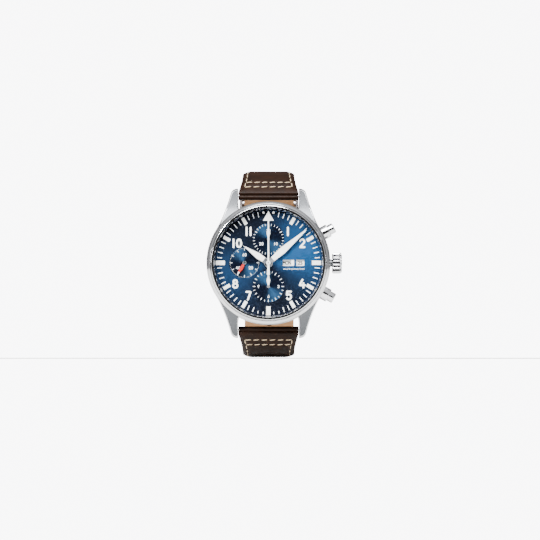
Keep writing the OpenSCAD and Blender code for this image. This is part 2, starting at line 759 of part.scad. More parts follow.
module start_lever() lever(1);
module reset_lever() lever(-1);

module rotor() color("lightgray") {
    translate([0, 0, rotor_z]) ring(2.6, 1.9, 0.8);
    translate([0, 0, rotor_z]) linear_extrude(0.35) difference() {
        intersection() {
            circle(r = 14.6);
            translate([-15, -15]) square([30, 15]);
        }
        circle(r = 2.5);
        for (a = [-150, -90, -30]) rotate(a) translate([7.5, 0]) circle(r = 1.9);
    }
    intersection() {
        translate([0, 0, rotor_z]) ring(14.6, 12.2, 1.5);
        translate([-15, -15, 0]) cube([30, 15, 6]);
    }
}

module rotor_bearing() color("gray") translate([0, 0, rotor_z + 0.1]) {
    ring(1.25, 0.8, 0.6);
    for (a = [0 : 60 : 300]) rotate(a) translate([1.55, 0, 0.3]) sphere(r = 0.28, $fn = 24);
}

// ---- Strap, spring bars and buckle ----

module spring_bars() color("silver") for (s = [-1, 1])
    translate([0, s * bar_y, bar_z]) rotate([0, 90, 0]) {
        translate([0, 0, -10.4]) cylinder(r = bar_r, h = 20.8);
        translate([0, 0, -11.8]) cylinder(r = bar_tip_r, h = 23.6);
    }

// Places a drawing at distance s along a strap half: X across, Y along, Z outwards
module on_strap(s, r) {
    p = line_at(s, r);
    translate([0, p[0], p[1]]) rotate([-heading(s, r), 0, 0]) children();
}

// A strap half: its side outline, trimmed to its width, which narrows soon after the lugs
module strap_half(r, l, tip) {
    z_end = line_at(l, r)[1];
    edge = [
        [strap_w / 2, 5], [strap_w / 2, 2], [strap_end_w / 2 + 0.2, -9], [strap_end_w / 2, -16],
        [strap_end_w / 2, z_end + tip], [strap_end_w / 2 - (tip > 0 ? 6 : 0), z_end - 2]
    ];
    intersection() {
        union() {
            rotate([90, 0, 90]) translate([0, 0, -12]) linear_extrude(24)
                polygon(strap_side(r, l, 1.5));
            translate([0, bar_y, bar_z]) rotate([0, 90, 0])
                cylinder(r = strap_t / 2, h = 24, center = true);
        }
        rotate([90, 0, 0]) translate([0, 0, -60]) linear_extrude(120) polygon(concat(
            [for (e = edge) e], [for (i = [5 : -1 : 0]) [-edge[i][0], edge[i][1]]]
        ));
    }
}

// The leather of this half turns back round the buckle's pin
module strap_upper() color("saddlebrown") difference() {
    union() {
        strap_half(upper_r, upper_l, 0);
        on_strap(upper_l, upper_r) rotate([0, 90, 0])
            cylinder(r = strap_end_t / 2 + 0.2, h = strap_end_w, center = true);
    }
    translate([0, bar_y, bar_z]) rotate([0, 90, 0])
        cylinder(r = bar_r + 0.05, h = 30, center = true);
    on_strap(upper_l, upper_r) {
        rotate([0, 90, 0]) cylinder(r = 0.65, h = 30, center = true);
        translate([-1.2, -5, -4]) cube([2.4, 10, 8]);
    }
}

module strap_lower() color("saddlebrown") mirror([0, 1, 0]) difference() {
    strap_half(lower_r, lower_l, 7);
    translate([0, bar_y, bar_z]) rotate([0, 90, 0])
        cylinder(r = bar_r + 0.05, h = 30, center = true);
    for (i = [0 : hole_count - 1]) on_strap(lower_l - 22 - i * 6.5, lower_r)
        cylinder(r = 0.9, h = 8, center = true);
}

keeper_w = strap_end_w + 1.2;
keeper_t = 1;          // thickness of a keeper's band
keeper_room = strap_end_t + 0.4;

// A keeper is a leather band round the strap, with room for the tail on the outside
module keeper(s, w, play) color("saddlebrown") on_strap(s, upper_r) {
    low = -half_t(s, upper_l) - play;
    top = half_t(s, upper_l) + keeper_room;
    difference() {
        translate([-keeper_w / 2 - keeper_t, -w / 2, low - keeper_t])
            cube([keeper_w + 2 * keeper_t, w, top - low + 2 * keeper_t]);
        translate([-keeper_w / 2, -w, low]) cube([keeper_w, 2 * w, top - low]);
    }
}

module fixed_keeper() keeper(upper_l - 9, 5, 0.1);
module free_keeper() keeper(upper_l - 16, 6, 0.25);

frame_l = 11.5;
frame_w = 22.4;
arm_w = 1.7;

module buckle_frame() color("silver") on_strap(upper_l, upper_r) difference() {
    union() {
        for (s = [-1, 1]) scale([s, 1, 1]) {
            translate([frame_w / 2 - arm_w, 0, -0.9]) cube([arm_w, frame_l, 1.8]);
            translate([frame_w / 2 - arm_w, 0, 0]) rotate([0, 90, 0]) cylinder(r = 1.3, h = arm_w);
        }
        translate([-frame_w / 2, frame_l, 0.2]) rotate([0, 90, 0])
            cylinder(r = 1.1, h = frame_w);
    }
    rotate([0, 90, 0]) cylinder(r = 0.65, h = 30, center = true);
}

module buckle_pin() color("silver") on_strap(upper_l, upper_r)
    rotate([0, 90, 0]) cylinder(r = 0.6, h = frame_w - 0.4, center = true);

module buckle_tongue() color("silver") on_strap(upper_l, upper_r) difference() {
    union() {
        rotate([0, 90, 0]) cylinder(r = 1.25, h = 2, center = true);
        translate([-0.9, 0, 0.35]) cube([1.8, 2, 0.9]);
        rotate([90, 0, 90]) translate([0, 0, -0.9]) linear_extrude(1.8) polygon([
            [1, 0.4], [1, 1.25], [frame_l - 1.2, 2.2], [frame_l + 1.6, 2.1], [frame_l + 1.9, 1.6],
            [frame_l + 1.4, 1.32], [frame_l - 1.2, 1.32]
        ]);
    }
    rotate([0, 90, 0]) cylinder(r = 0.65, h = 30, center = true);
}

stand() case_middle();
stand() bezel();
stand() crystal();
stand() case_gaskets();
stand() case_back();
stand() magnetic_shield();
stand() movement_ring();
stand() dial_flange();
stand() dial();
stand() date_disc();
stand() day_disc();
stand() hour_hand();
stand() minute_hand();
stand() chrono_hand();
stand() small_seconds_hand();
stand() minute_counter_hand();
stand() hour_counter_hand();
stand() crown();
stand() crown_gasket();
stand() crown_tube();
stand() winding_stem();
stand() start_pusher();
stand() reset_pusher();
stand() pusher_tubes();
stand() start_spring();
stand() reset_spring();
stand() main_plate();
stand() train_bridge();
stand() balance_cock();
stand() automatic_bridge();
stand() bridge_screws();
stand() barrel_drum();
stand() mainspring();
stand() barrel_arbor();
stand() ratchet_wheel();
stand() center_wheel();
stand() cannon_pinion();
stand() hour_wheel();
stand() minute_wheel();
stand() third_wheel();
stand() fourth_wheel();
stand() escape_wheel();
stand() pallet_fork();
stand() balance_wheel();
stand() hairspring();
stand() chrono_wheel();
stand() minute_counter_wheel();
stand() hour_counter_wheel();
stand() start_lever();
stand() reset_lever();
stand() rotor();
stand() rotor_bearing();
stand() spring_bars();
stand() strap_upper();
stand() strap_lower();
stand() fixed_keeper();
stand() free_keeper();
stand() buckle_frame();
stand() buckle_pin();
stand() buckle_tongue();
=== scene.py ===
"""A pilot's chronograph on a leather strap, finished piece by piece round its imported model.

Shapes are worked out in watch axes, in millimetres: x towards the crown, y towards twelve
o'clock, z out through the dial, from the centre of the case back. upright() stands them up.
"""
import json
import math

import bmesh
import bpy
import numpy as np
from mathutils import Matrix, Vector


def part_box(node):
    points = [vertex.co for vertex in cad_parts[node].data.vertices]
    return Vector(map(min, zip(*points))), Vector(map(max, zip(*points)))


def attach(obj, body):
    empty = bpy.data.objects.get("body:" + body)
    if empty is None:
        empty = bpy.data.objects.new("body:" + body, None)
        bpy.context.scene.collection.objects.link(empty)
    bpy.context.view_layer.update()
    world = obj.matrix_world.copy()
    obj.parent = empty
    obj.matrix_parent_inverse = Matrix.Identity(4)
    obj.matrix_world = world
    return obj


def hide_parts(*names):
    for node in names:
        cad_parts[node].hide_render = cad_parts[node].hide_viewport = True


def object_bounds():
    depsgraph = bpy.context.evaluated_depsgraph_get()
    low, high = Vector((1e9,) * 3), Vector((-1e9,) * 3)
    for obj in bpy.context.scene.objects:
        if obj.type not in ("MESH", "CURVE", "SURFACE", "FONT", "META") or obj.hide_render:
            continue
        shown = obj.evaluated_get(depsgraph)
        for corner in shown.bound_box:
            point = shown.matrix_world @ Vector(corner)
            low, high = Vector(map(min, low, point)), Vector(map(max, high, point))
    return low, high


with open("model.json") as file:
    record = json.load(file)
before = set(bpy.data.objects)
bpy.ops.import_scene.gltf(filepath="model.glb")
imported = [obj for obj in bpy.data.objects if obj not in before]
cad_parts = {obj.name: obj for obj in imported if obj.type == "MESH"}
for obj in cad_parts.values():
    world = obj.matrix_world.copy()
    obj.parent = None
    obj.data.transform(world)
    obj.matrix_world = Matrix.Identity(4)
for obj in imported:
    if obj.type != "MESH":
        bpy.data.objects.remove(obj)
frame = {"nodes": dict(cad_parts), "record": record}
cad_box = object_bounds()
scene = bpy.context.scene
TURN = 2 * math.pi


# ---- Camera, light and floor ----
# A long lens looks straight at the dial, very slightly from below and from the right.
# Softboxes above, in front and to the left stand out in a dim room, so polished steel keeps
# its contrast.

def node(tree, kind, settings=None, feeds=None):
    """Adds one shader node: settings fill its properties or sockets, feeds link its sockets."""
    made = tree.nodes.new("ShaderNode" + kind)
    for key, value in (settings or {}).items():
        if isinstance(key, str) and key not in made.inputs:
            setattr(made, key, value)
        else:
            made.inputs[key].default_value = value
    for key, source in (feeds or {}).items():
        tree.links.new(source, made.inputs[key])
    return made


def colour(code):
    """An sRGB hex code as a linear colour."""
    channels = [int(code[i:i + 2], 16) / 255 for i in (1, 3, 5)]
    return [c / 12.92 if c <= 0.04045 else ((c + 0.055) / 1.055) ** 2.4 for c in channels] + [1]


def upright(points):
    """Watch axes in millimetres to the frame's axes in metres: (x, y, z) becomes (x, -z, y)."""
    p = np.asarray(points, float)
    return np.stack([p[..., 0], -p[..., 2], p[..., 1]], -1) / 1000


def new_material(name, **settings):
    """A material with its Principled shader; settings name the shader's sockets."""
    material = bpy.data.materials.new(name)
    material.use_nodes = True
    tree = material.node_tree
    shader = tree.nodes["Principled BSDF"]
    for key, value in settings.items():
        shader.inputs[key.replace("_", " ")].default_value = value
    return material, tree, shader


def top_of(name):
    """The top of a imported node, in watch axes and millimetres."""
    return -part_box(name)[0][1] * 1000


dial_top = top_of("dial")
camera_far = 1.4                     # metres from the dial
view_width = 0.1872                  # metres across the picture at the dial
aim_x, aim_z = 0.00055, -0.0025      # metres from the frame's origin to the picture's middle
camera_low, camera_right = math.radians(1.2), math.radians(0.2)
camera_data = bpy.data.cameras.new("camera")
camera_data.sensor_width = 36
camera_data.lens = 36 * camera_far / view_width
camera = bpy.data.objects.new("camera", camera_data)
camera.location = (aim_x + camera_far * math.sin(camera_right), -camera_far - dial_top / 1000,
                   aim_z - camera_far * math.sin(camera_low))
camera.rotation_euler = (math.radians(90) + camera_low, 0, camera_right)
scene.collection.objects.link(camera)
scene.camera = camera

world = bpy.data.worlds.new("light_tent")
scene.world = world
world.use_nodes = True
sky = world.node_tree
sky.nodes.clear()
way = node(sky, "TexCoord").outputs["Generated"]
axes = node(sky, "SeparateXYZ", feeds={0: way}).outputs
across = node(sky, "Math", {"operation": "ABSOLUTE"}, {0: axes["X"]}).outputs[0]

# Each row is a direction and the start, stop, low and high of a smooth step along it
shares = []
for source, *step in ((axes["Y"], -0.95, -0.8, 0.036, 0.9),      # dark hole round the lens
                      (across, 0.4, 0.85, 1.0, 0.6),             # dark cards at both sides
                      (axes["Z"], -0.9, 0.9, 0.8, 1.3),          # lighter above than below
                      (axes["Y"], 0.0, 0.5, 1.0, 0.3),           # dimmer behind the watch
                      (axes["Y"], 0.972, 0.985, 0.0, 1.0)):      # small screen far behind
    settings = dict(zip(("From Min", "From Max", "To Min", "To Max"), step))
    settings["interpolation_type"] = "SMOOTHSTEP"
    shares.append(node(sky, "MapRange", settings, {"Value": source}).outputs[0])
*parts, screen = shares
room = parts[0]
for share in parts[1:]:
    room = node(sky, "Math", {"operation": "MULTIPLY"}, {0: room, 1: share}).outputs[0]
SCREEN_LIGHT = 9.0
lit = node(sky, "Mix", {"data_type": "FLOAT", 3: SCREEN_LIGHT}, {0: screen, 2: room})
tent = node(sky, "Background", {"Color": colour("#fbfbfd")}, {"Strength": lit.outputs[0]})
node(sky, "OutputWorld", feeds={"Surface": tent.outputs[0]})

# Name, place and side in metres, and power in watts; each lamp faces the watch
for name, place, side, power in (("upper_light", (-0.05, -0.5, 0.5), 0.42, 15.0),
                                 ("top_light", (0.0, -0.08, 0.6), 0.3, 1.5),
                                 ("front_light", (-0.45, -0.6, 0.35), 0.14, 11.0),
                                 ("left_light", (-0.62, -0.42, 0.1), 0.16, 1.6)):
    light = bpy.data.lights.new(name, "AREA")
    light.size = side
    light.energy = power
    lamp = bpy.data.objects.new(name, light)
    lamp.location = place
    lamp.rotation_euler = (-Vector(place)).to_track_quat("-Z", "Y").to_euler()
    scene.collection.objects.link(lamp)

# The floor ends just in front of the watch, so that the dial does not mirror it
floor_z = float(cad_box[0][2]) - 0.0004
floor_mesh = bpy.data.meshes.new("floor")
floor_mesh.from_pydata([(x, y, floor_z) for x, y in ((-0.4, -0.12), (0.4, -0.12), (0.4, 0.3),
                                                    (-0.4, 0.3))], [], [(0, 1, 2, 3)])
floor = bpy.data.objects.new("floor", floor_mesh)
scene.collection.objects.link(floor)
paper, tree, shader = new_material("pale_paper", Base_Color=colour("#f1f1ef"), Roughness=0.8)
floor_mesh.materials.append(paper)


# ---- Case middle ----
# Turned and milled stainless steel with four lugs. The tops of the lugs are satin-brushed
# towards twelve o'clock, the rim round the bezel and the edges of the lugs are polished.

def grain(tree, scale, detail=3, stretch=(1, 1, 1)):
    """Noise on Object coordinates: scale is features per metre, stretch squeezes each axis."""
    place = node(tree, "TexCoord").outputs["Object"]
    moved = node(tree, "Mapping", {"Scale": stretch}, {"Vector": place})
    return node(tree, "TexNoise", {"Scale": scale, "Detail": detail},
                {"Vector": moved.outputs[0]}).outputs["Fac"]


def worn(tree, shader, field, shades=None, rough=None, relief=None):
    """Lets a field vary a surface: mostly noise, a real grain, and on the dial and the counters
    painted highlights.

    Its colour goes from the first to the second of the shades, each a hex code or a socket,
    its roughness between two values as the noise goes from 0.3 to 0.7, and its relief is a
    strength and a depth in metres.
    """
    if shades:
        tone = node(tree, "Mix", {"data_type": "RGBA"}, {0: field})
        for key, shade in zip((6, 7), shades):
            if isinstance(shade, str):
                tone.inputs[key].default_value = colour(shade)
            else:
                tree.links.new(shade, tone.inputs[key])
        tree.links.new(tone.outputs[2], shader.inputs["Base Color"])
    if rough:
        low, high = rough
        gloss = node(tree, "MapRange", {"From Min": 0.3, "From Max": 0.7, "To Min": low,
                                        "To Max": high}, {"Value": field})
        tree.links.new(gloss.outputs[0], shader.inputs["Roughness"])
    if relief:
        bumps = node(tree, "Bump", {"Strength": relief[0], "Distance": relief[1]},
                     {"Height": field})
        tree.links.new(bumps.outputs["Normal"], shader.inputs["Normal"])


def mottled(name, light, dark, scale, detail=2, relief=None, **settings):
    """A material that drifts between two near shades, with scale patches to the metre.

    relief, where there is one, is a grain's scale, its strength and its depth in metres.
    """
    material, tree, shader = new_material(name, **settings)
    worn(tree, shader, grain(tree, scale, detail), (light, dark))
    if relief:
        worn(tree, shader, grain(tree, relief[0], 2), relief=relief[1:])
    return material


def polished_steel(name, code="#d7d8da", rough=0.09):
    """Buffed 316L steel: a near-mirror with faint hairlines that vary its gloss."""
    material, tree, shader = new_material(name, Base_Color=colour(code), Metallic=1.0)
    worn(tree, shader, grain(tree, 900, 4), rough=(rough * 0.7, rough * 1.5))
    worn(tree, shader, grain(tree, 5000, 2), relief=(0.05, 1e-5))
    return material


def grained_metal(name, shades, rough, scale, stretch=(1, 1, 1), detail=3, strength=0.2):
    """Metal with a fine grain: scale is features per metre, stretch lines them up."""
    material, tree, shader = new_material(name, Metallic=1.0)
    worn(tree, shader, grain(tree, scale, detail, stretch), shades, rough, (strength, 2e-5))
    return material


steel_mirror = polished_steel("polished_316L_steel")
# Brushed with parallel scratches, about 14 to the millimetre
steel_satin = grained_metal("satin_316L_steel", ("#66686b", "#4f5154"), (0.26, 0.42), 14000,
                            (1, 1, 0.02), 2, 0.25)


def skin(name, grids, faces=None, open_from=None):
    """A mesh of closed skins that face outwards, from grids (rows, columns, 3) in watch axes.

    Rows always close on themselves. Columns do too, except in the grids from open_from on,
    whose first and last columns have no width. Points that coincide are merged. faces gives,
    for each grid, the material index of each row of quads.
    """
    points, quads, kinds, start = [], [], [], 0
    for k, grid in enumerate(grids):
        rows, cols = grid.shape[:2]
        span = cols if open_from is None or k < open_from else cols - 1
        i, j = np.meshgrid(np.arange(rows), np.arange(span), indexing="ij")
        i2, j2 = (i + 1) % rows, (j + 1) % cols
        quad = np.stack([i * cols + j, i * cols + j2, i2 * cols + j2, i2 * cols + j], -1)
        quads.append(quad.reshape(-1, 4) + start)
        kinds.append(np.repeat(faces[k], span) if faces else np.zeros(rows * span, int))
        points.append(upright(grid).reshape(-1, 3))
        start += rows * cols
    mesh = bpy.data.meshes.new(name)
    mesh.from_pydata(np.concatenate(points), [], np.concatenate(quads).tolist())
    mesh.polygons.foreach_set("material_index", np.concatenate(kinds).astype(np.int32))
    work = bmesh.new()
    work.from_mesh(mesh)
    bmesh.ops.remove_doubles(work, verts=work.verts[:], dist=2e-7)
    bmesh.ops.dissolve_degenerate(work, edges=work.edges[:], dist=1e-7)
    loose = [edge for edge in work.edges if not edge.link_faces]
    bmesh.ops.delete(work, geom=loose, context="EDGES")
    bmesh.ops.recalc_face_normals(work, faces=work.faces[:])
    work.to_mesh(mesh)
    work.free()
    return mesh


def placed(name, mesh, materials, body):
    """Adds a piece with its mesh and materials, on its body."""
    for material in materials:
        mesh.materials.append(material)
    piece = bpy.data.objects.new(name, mesh)
    scene.collection.objects.link(piece)
    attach(piece, body)
    return piece


def solid(name, grids, materials, body, replaces=(), sharp=35, faces=None, open_from=None):
    """Makes a smooth-shaded piece from grids, as skin does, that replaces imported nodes."""
    mesh = skin(name, grids, faces, open_from)
    mesh.polygons.foreach_set("use_smooth", np.ones(len(mesh.polygons), bool))
    mesh.set_sharp_from_angle(angle=math.radians(sharp))
    piece = placed(name, mesh, materials, body)
    if replaces:
        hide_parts(*replaces)
    return piece


def dress(name, material):
    """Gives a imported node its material."""
    slots = frame["nodes"][name].data.materials
    slots.clear()
    slots.append(material)


case_r = 21.5
lug_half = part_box("case_middle")[1][2] * 1000
lug_gap = 21.2 / 2
rim_r = 20.26
rim_z = 12.0
dial_low = -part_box("dial")[1][1] * 1000 - 0.01


def straight(a, b, count):
    """Points on a line from a towards b, without b."""
    t = np.linspace(0, 1, count, endpoint=False)[:, None]
    return np.array(a) * (1 - t) + np.array(b) * t


def compass(degrees):
    """Unit vectors (x, y) at angles in degrees."""
    a = np.radians(degrees)
    return np.stack([np.cos(a), np.sin(a)], -1)


def arc(centre, radius, start, stop, count):
    """Points on an arc, in degrees, without its last point."""
    return np.array(centre) + radius * compass(np.linspace(start, stop, count, endpoint=False))


LUG_CORNER = [(10.9, 0), (11.6, 0.12), (12.2, 0.4), (12.7, 0.85), (13.05, 1.45)]
ROOT, WAIST, TIP = np.array([18.03, 11.71]), np.array([15.3, 16.3]), np.array([13.2, lug_half - 2])
TIP_RAY = 56                         # degrees, the direction that the lug's tip is joined to
root_angle = math.degrees(math.atan2(ROOT[1], ROOT[0]))
inner_root = math.degrees(math.acos(lug_gap / case_r))


def quarter_plan():
    """The plan of one quarter of the case, and the direction that each point is joined to.

    An arc, the lug's hollow outer edge as a quadratic curve through its waist, the rounded tip,
    the straight inner edge, and an arc again. The directions never cross.
    """
    t = np.linspace(0, 1, 30, endpoint=False)[:, None]
    flank = ROOT * (1 - t) ** 2 + WAIST * 2 * t * (1 - t) + TIP * t * t
    tip = np.array([TIP] + [(x, lug_half - d) for x, d in LUG_CORNER[::-1]])
    tip = np.concatenate([straight(a, b, 3) for a, b in zip(tip[:-1], tip[1:])])
    notch = arc((lug_gap + 0.3, lug_half - 0.3), 0.3, 90, 180, 4)
    inner = straight((lug_gap, lug_half - 0.3),
                     (lug_gap, case_r * math.sin(math.radians(inner_root))), 22)
    first, last = arc((0, 0), case_r, 0, root_angle, 20), arc((0, 0), case_r, inner_root, 90, 18)
    outline = np.concatenate([first, flank, tip, notch, inner, last])
    polar = np.degrees(np.arctan2(outline[:, 1], outline[:, 0]))
    a, b = len(first), len(first) + len(flank)
    c = len(outline) - len(last)
    rays = polar.copy()
    rays[a:b] = root_angle + (polar[a:b] - root_angle) * ((TIP_RAY - root_angle)
                                                          / (polar[b] - root_angle))
    rays[b:c] = np.linspace(TIP_RAY, inner_root - 0.05, c - b)
    return outline, rays


plan, rays = quarter_plan()
other = plan[::-1] * [-1, 1]
half_plan = np.concatenate([plan, [[0, case_r]], other[:-1]])
half_rays = np.concatenate([rays, [90], (180 - rays[::-1])[:-1]])
full_plan = np.concatenate([half_plan, [[-case_r, 0]], half_plan[1:][::-1] * [1, -1]])
full_rays = np.concatenate([half_rays, [180], -half_rays[1:][::-1]])
ray = compass(full_rays)
tangent = np.roll(full_plan, -1, 0) - np.roll(full_plan, 1, 0)
normal = np.stack([tangent[:, 1], -tangent[:, 0]], -1)
normal /= np.linalg.norm(normal, axis=1)[:, None]
outside_gap = np.abs(full_plan[:, 0]) >= lug_gap - 1e-6
on_lug = np.clip((np.abs(full_plan[:, 1]) - 7) / 9, 0, 1) * outside_gap


def lug_top(y):
    """Height of the case's upper face: level at the rim, then down along the lug."""
    return 11 - 8.6 * (np.clip(np.abs(y) - 8, 0, None) / (lug_half - 8)) ** 2.3


def lug_under(y):
    """Height of a lug's underside, just above the case back, rising a little at the tip."""
    return 0.7 + 0.9 * np.clip((np.abs(y) - 24.5) / 1.6, 0, 1) ** 2


def case_rows():
    """Rows of the closed skin: groove, polished rim, lug tops, edge, wall, underside, seat."""
    level = np.ones(len(ray))
    cut, low_cut, seat_z = 0.3, 0.25, 1.02
    rows = [(ray * r, level * z) for r, z in (
        (rim_r, 11.6), (rim_r, rim_z - 0.08), (rim_r + 0.12, rim_z), (rim_r + 0.95, 11.12),
        (rim_r + 1.0, 11.02))]
    start, inner = ray * (rim_r + 1.04), full_plan - normal * cut
    for t in np.linspace(0, 1, 22):
        p = start * (1 - t) + inner * t
        rows.append((p, np.minimum(11.0, lug_top(p[:, 1])) - 0.35 * t * (1 - on_lug)))
    top = np.minimum(11.0, lug_top(full_plan[:, 1])) - 0.35 * (1 - on_lug) - cut
    low = 3.6 * (1 - on_lug) + lug_under(full_plan[:, 1]) * on_lug
    for t in np.linspace(0, 1, 12):
        rows.append((full_plan, top * (1 - t) + (low + low_cut) * t))
    for t in np.linspace(0.02, 1, 10):
        p = (full_plan - normal * low_cut) * (1 - t) + ray * 19.7 * t
        rows.append((p, low * (1 - t) + seat_z * t))
    rows += [(ray * r, level * z) for r, z in (
        (18.1, seat_z), (18.1, dial_low), (19.17, dial_low), (19.17, 11.6))]
    return np.stack([np.concatenate([p, z[:, None]], 1) for p, z in rows])


case_grid = case_rows()
polish = np.zeros(len(case_grid), int)
polish[:4] = 1                       # the rim
polish[25:27] = 1                    # the broken edge of the case and lugs
solid("case_middle_steel", [case_grid], [steel_satin, steel_mirror], "case",
      ["case_middle"], faces=[polish], sharp=28)


# ---- Bezel, dial flange, crystal and case back ----
# Rings turned from bar and polished, a domed sapphire pressed into a black nylon gasket,
# and a plain snap back with a circular satin finish.

def lathe(profile, steps=256, at=(0, 0)):
    """A closed profile of (radius, height) carried round the z axis through at."""
    profile = np.array(profile, float)
    a = np.linspace(0, TURN, steps, endpoint=False)
    r, z = profile[:, :1], profile[:, 1:]
    return np.stack([at[0] + r * np.cos(a), at[1] + r * np.sin(a), z + 0 * a], -1)


bezel_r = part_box("bezel")[1][0] * 1000
bezel_top = top_of("bezel")
glass_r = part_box("crystal")[1][0] * 1000
glass_top = top_of("crystal")
BEZEL_LOW, GASKET_TOP, SEAT_R = 11.62, 12.62, 19.22
solid("bezel_ring", [lathe([
    (SEAT_R, BEZEL_LOW), (bezel_r, BEZEL_LOW), (bezel_r, 12.75), (bezel_r - 0.03, 13.1),
    (bezel_r - 0.1, 13.4), (bezel_r - 0.27, 13.98), (bezel_r - 0.33, 14.12),
    (bezel_r - 0.42, 14.18), (19.66, bezel_top), (19.6, 14.12), (19.6, GASKET_TOP),
    (SEAT_R, GASKET_TOP)])],
    [steel_mirror], "case", ["bezel"], sharp=50)
flange_steel = polished_steel("rhodium_plated_flange", "#8d9096", 0.25)
solid("flange_ring", [lathe([
    (18.42, dial_top + 0.01), (19.12, dial_top + 0.01), (19.12, 12.58), (18.98, 12.58),
    (18.94, 12.5), (18.44, dial_top + 0.25)])],
    [flange_steel], "case", ["dial_flange"], sharp=50)

crystal_glass, tree, shader = new_material(
    "coated_sapphire", Base_Color=(1, 1, 1, 1), Metallic=1.0, Roughness=0.015)
edge_on = node(tree, "LayerWeight", {"Blend": 0.5}).outputs["Facing"]
steep = node(tree, "Math", {"operation": "POWER", 1: 4.5}, {0: edge_on}).outputs[0]
veil = node(tree, "Math", {"operation": "MULTIPLY_ADD", 1: 0.6, 2: 0.012}, {0: steep})
tree.links.new(veil.outputs[0], shader.inputs["Alpha"])
dome_h = glass_top - 14.25
dome_r = (glass_r ** 2 + dome_h ** 2) / (2 * dome_h)
dome = [(r, glass_top - dome_r + math.sqrt(dome_r ** 2 - r ** 2))
        for r in np.linspace(0, glass_r - 0.2, 24)]
solid("sapphire_dome", [lathe(
    [(0, GASKET_TOP)] + dome + [(glass_r - 0.01, 14.05), (glass_r - 0.01, GASKET_TOP)], 192)],
    [crystal_glass], "case", ["crystal"])


# ---- Dial ----
# A brass disc with sunray brushing under translucent blue lacquer, darker at the rim; the sunray's
# fan-shaped bands of light are painted highlights in its colour.
# Three sunk counters are turned with fine concentric grooves that catch the light as cone shapes;
# their colour also carries painted highlights of that shape.

def polar_nodes(tree, centre=(0, 0)):
    """Angle and radius, in metres, about a point of the dial, from Object coordinates."""
    place = node(tree, "TexCoord").outputs["Object"]
    moved = node(tree, "VectorMath", {"operation": "SUBTRACT",
                                       1: (centre[0] / 1000, 0, centre[1] / 1000)},
                 {0: place}).outputs[0]
    part = node(tree, "SeparateXYZ", feeds={0: moved})
    angle = node(tree, "Math", {"operation": "ARCTAN2"},
                 {0: part.outputs["Z"], 1: part.outputs["X"]}).outputs[0]
    flat = node(tree, "CombineXYZ", feeds={0: part.outputs["X"], 2: part.outputs["Z"]})
    radius = node(tree, "VectorMath", {"operation": "LENGTH"},
                  {0: flat.outputs[0]}).outputs["Value"]
    return angle, radius


def glow(tree, angle, turn, sharpness):
    """A soft fan of painted highlight: a power of the cosine of the angle from turn."""
    shifted = node(tree, "Math", {"operation": "ADD", 1: -math.radians(turn)},
                   {0: angle}).outputs[0]
    wave = node(tree, "Math", {"operation": "COSINE"}, {0: shifted}).outputs[0]
    lifted = node(tree, "MapRange", {"From Min": -1, "From Max": 1},
                  {"Value": wave}).outputs[0]
    return node(tree, "Math", {"operation": "POWER", 1: sharpness},
                {0: lifted}).outputs[0]


dial_blue, tree, shader = new_material("sunray_blue_lacquer_painted_highlights", Metallic=0.7, Roughness=0.36,
                                       Coat_Weight=0.5, Coat_Roughness=0.1)
angle, radius = polar_nodes(tree)
fan = node(tree, "CombineXYZ", feeds={0: angle}).outputs[0]
sunray = node(tree, "TexNoise", {"Scale": 60.0, "Detail": 3.0},
              {"Vector": fan}).outputs["Fac"]
# Painted highlights: two fan-shaped bands of light, between two and three o'clock and between eight
# and nine, painted into the dial's colour.
left_painted_highlight = node(tree, "Math", {"operation": "MULTIPLY", 1: 0.36},
                {0: glow(tree, angle, 196, 9)}).outputs[0]
painted_fan_highlights = node(tree, "Math", {"operation": "MAXIMUM"},
            {0: glow(tree, angle, 22, 7), 1: left_painted_highlight}).outputs[0]
streaks = node(tree, "MapRange", {"From Min": 0.3, "From Max": 0.7, "To Min": 0.82,
                                  "To Max": 1.1}, {"Value": sunray}).outputs[0]
streaked_painted_highlights = node(tree, "Math", {"operation": "MULTIPLY"},
                {0: painted_fan_highlights, 1: streaks}).outputs[0]
blue = node(tree, "Mix", {"data_type": "RGBA", 6: colour("#020b1d"),
                          7: colour("#22568a")}, {0: streaked_painted_highlights}).outputs[2]
rim_shade = node(tree, "MapRange", {"From Min": 0.0155, "From Max": 0.0187,
                                    "To Max": 0.4}, {"Value": radius}).outputs[0]
worn(tree, shader, rim_shade, (blue, "#050f24"))
worn(tree, shader, sunray, relief=(0.12, 3e-5))
dress("dial", dial_blue)

COUNTERS = {"minutes": ((0, 8.2), 5.5), "hours": ((0, -8.2), 5.5), "seconds": ((-8.3, 0), 5.35)}
GROOVE = 0.17        # millimetres from one turned groove to the next
for name, (centre, reach_r) in COUNTERS.items():
    sunk, tree, shader = new_material("azurage_lacquer_painted_highlights_" + name, Metallic=0.75,
                                      Roughness=0.3, Coat_Weight=0.3, Coat_Roughness=0.12)
    angle, radius = polar_nodes(tree, centre)
    # Painted highlights: two opposed cone-shaped bands of light on each counter, painted into its
    # colour.
    painted_cone_highlights = node(tree, "Math", {"operation": "MAXIMUM"},
                 {0: glow(tree, angle, 118, 14), 1: glow(tree, angle, -55, 12)}).outputs[0]
    worn(tree, shader, painted_cone_highlights, ("#040f24", "#30587f"))
    radii = np.arange(0.32, reach_r - 0.04, GROOVE / 2)
    top = [(r, dial_top - 0.1 + 0.012 * (i % 2)) for i, r in enumerate(radii)]
    rim = [(reach_r - 0.02, dial_top - 0.1), (reach_r - 0.02, dial_top - 0.119)]
    solid("counter_" + name, [lathe([(0.32, dial_top - 0.119)] + top + rim, 160, centre)],
          [sunk], "case", sharp=60)


# ---- Dial print and luminous markers ----
# White lacquer printed on the dial, and thicker blocks of white luminous compound.

def at_height(points, z):
    """Points (x, y) lifted to a height."""
    return np.concatenate([points, np.full((len(points), 1), z)], 1)


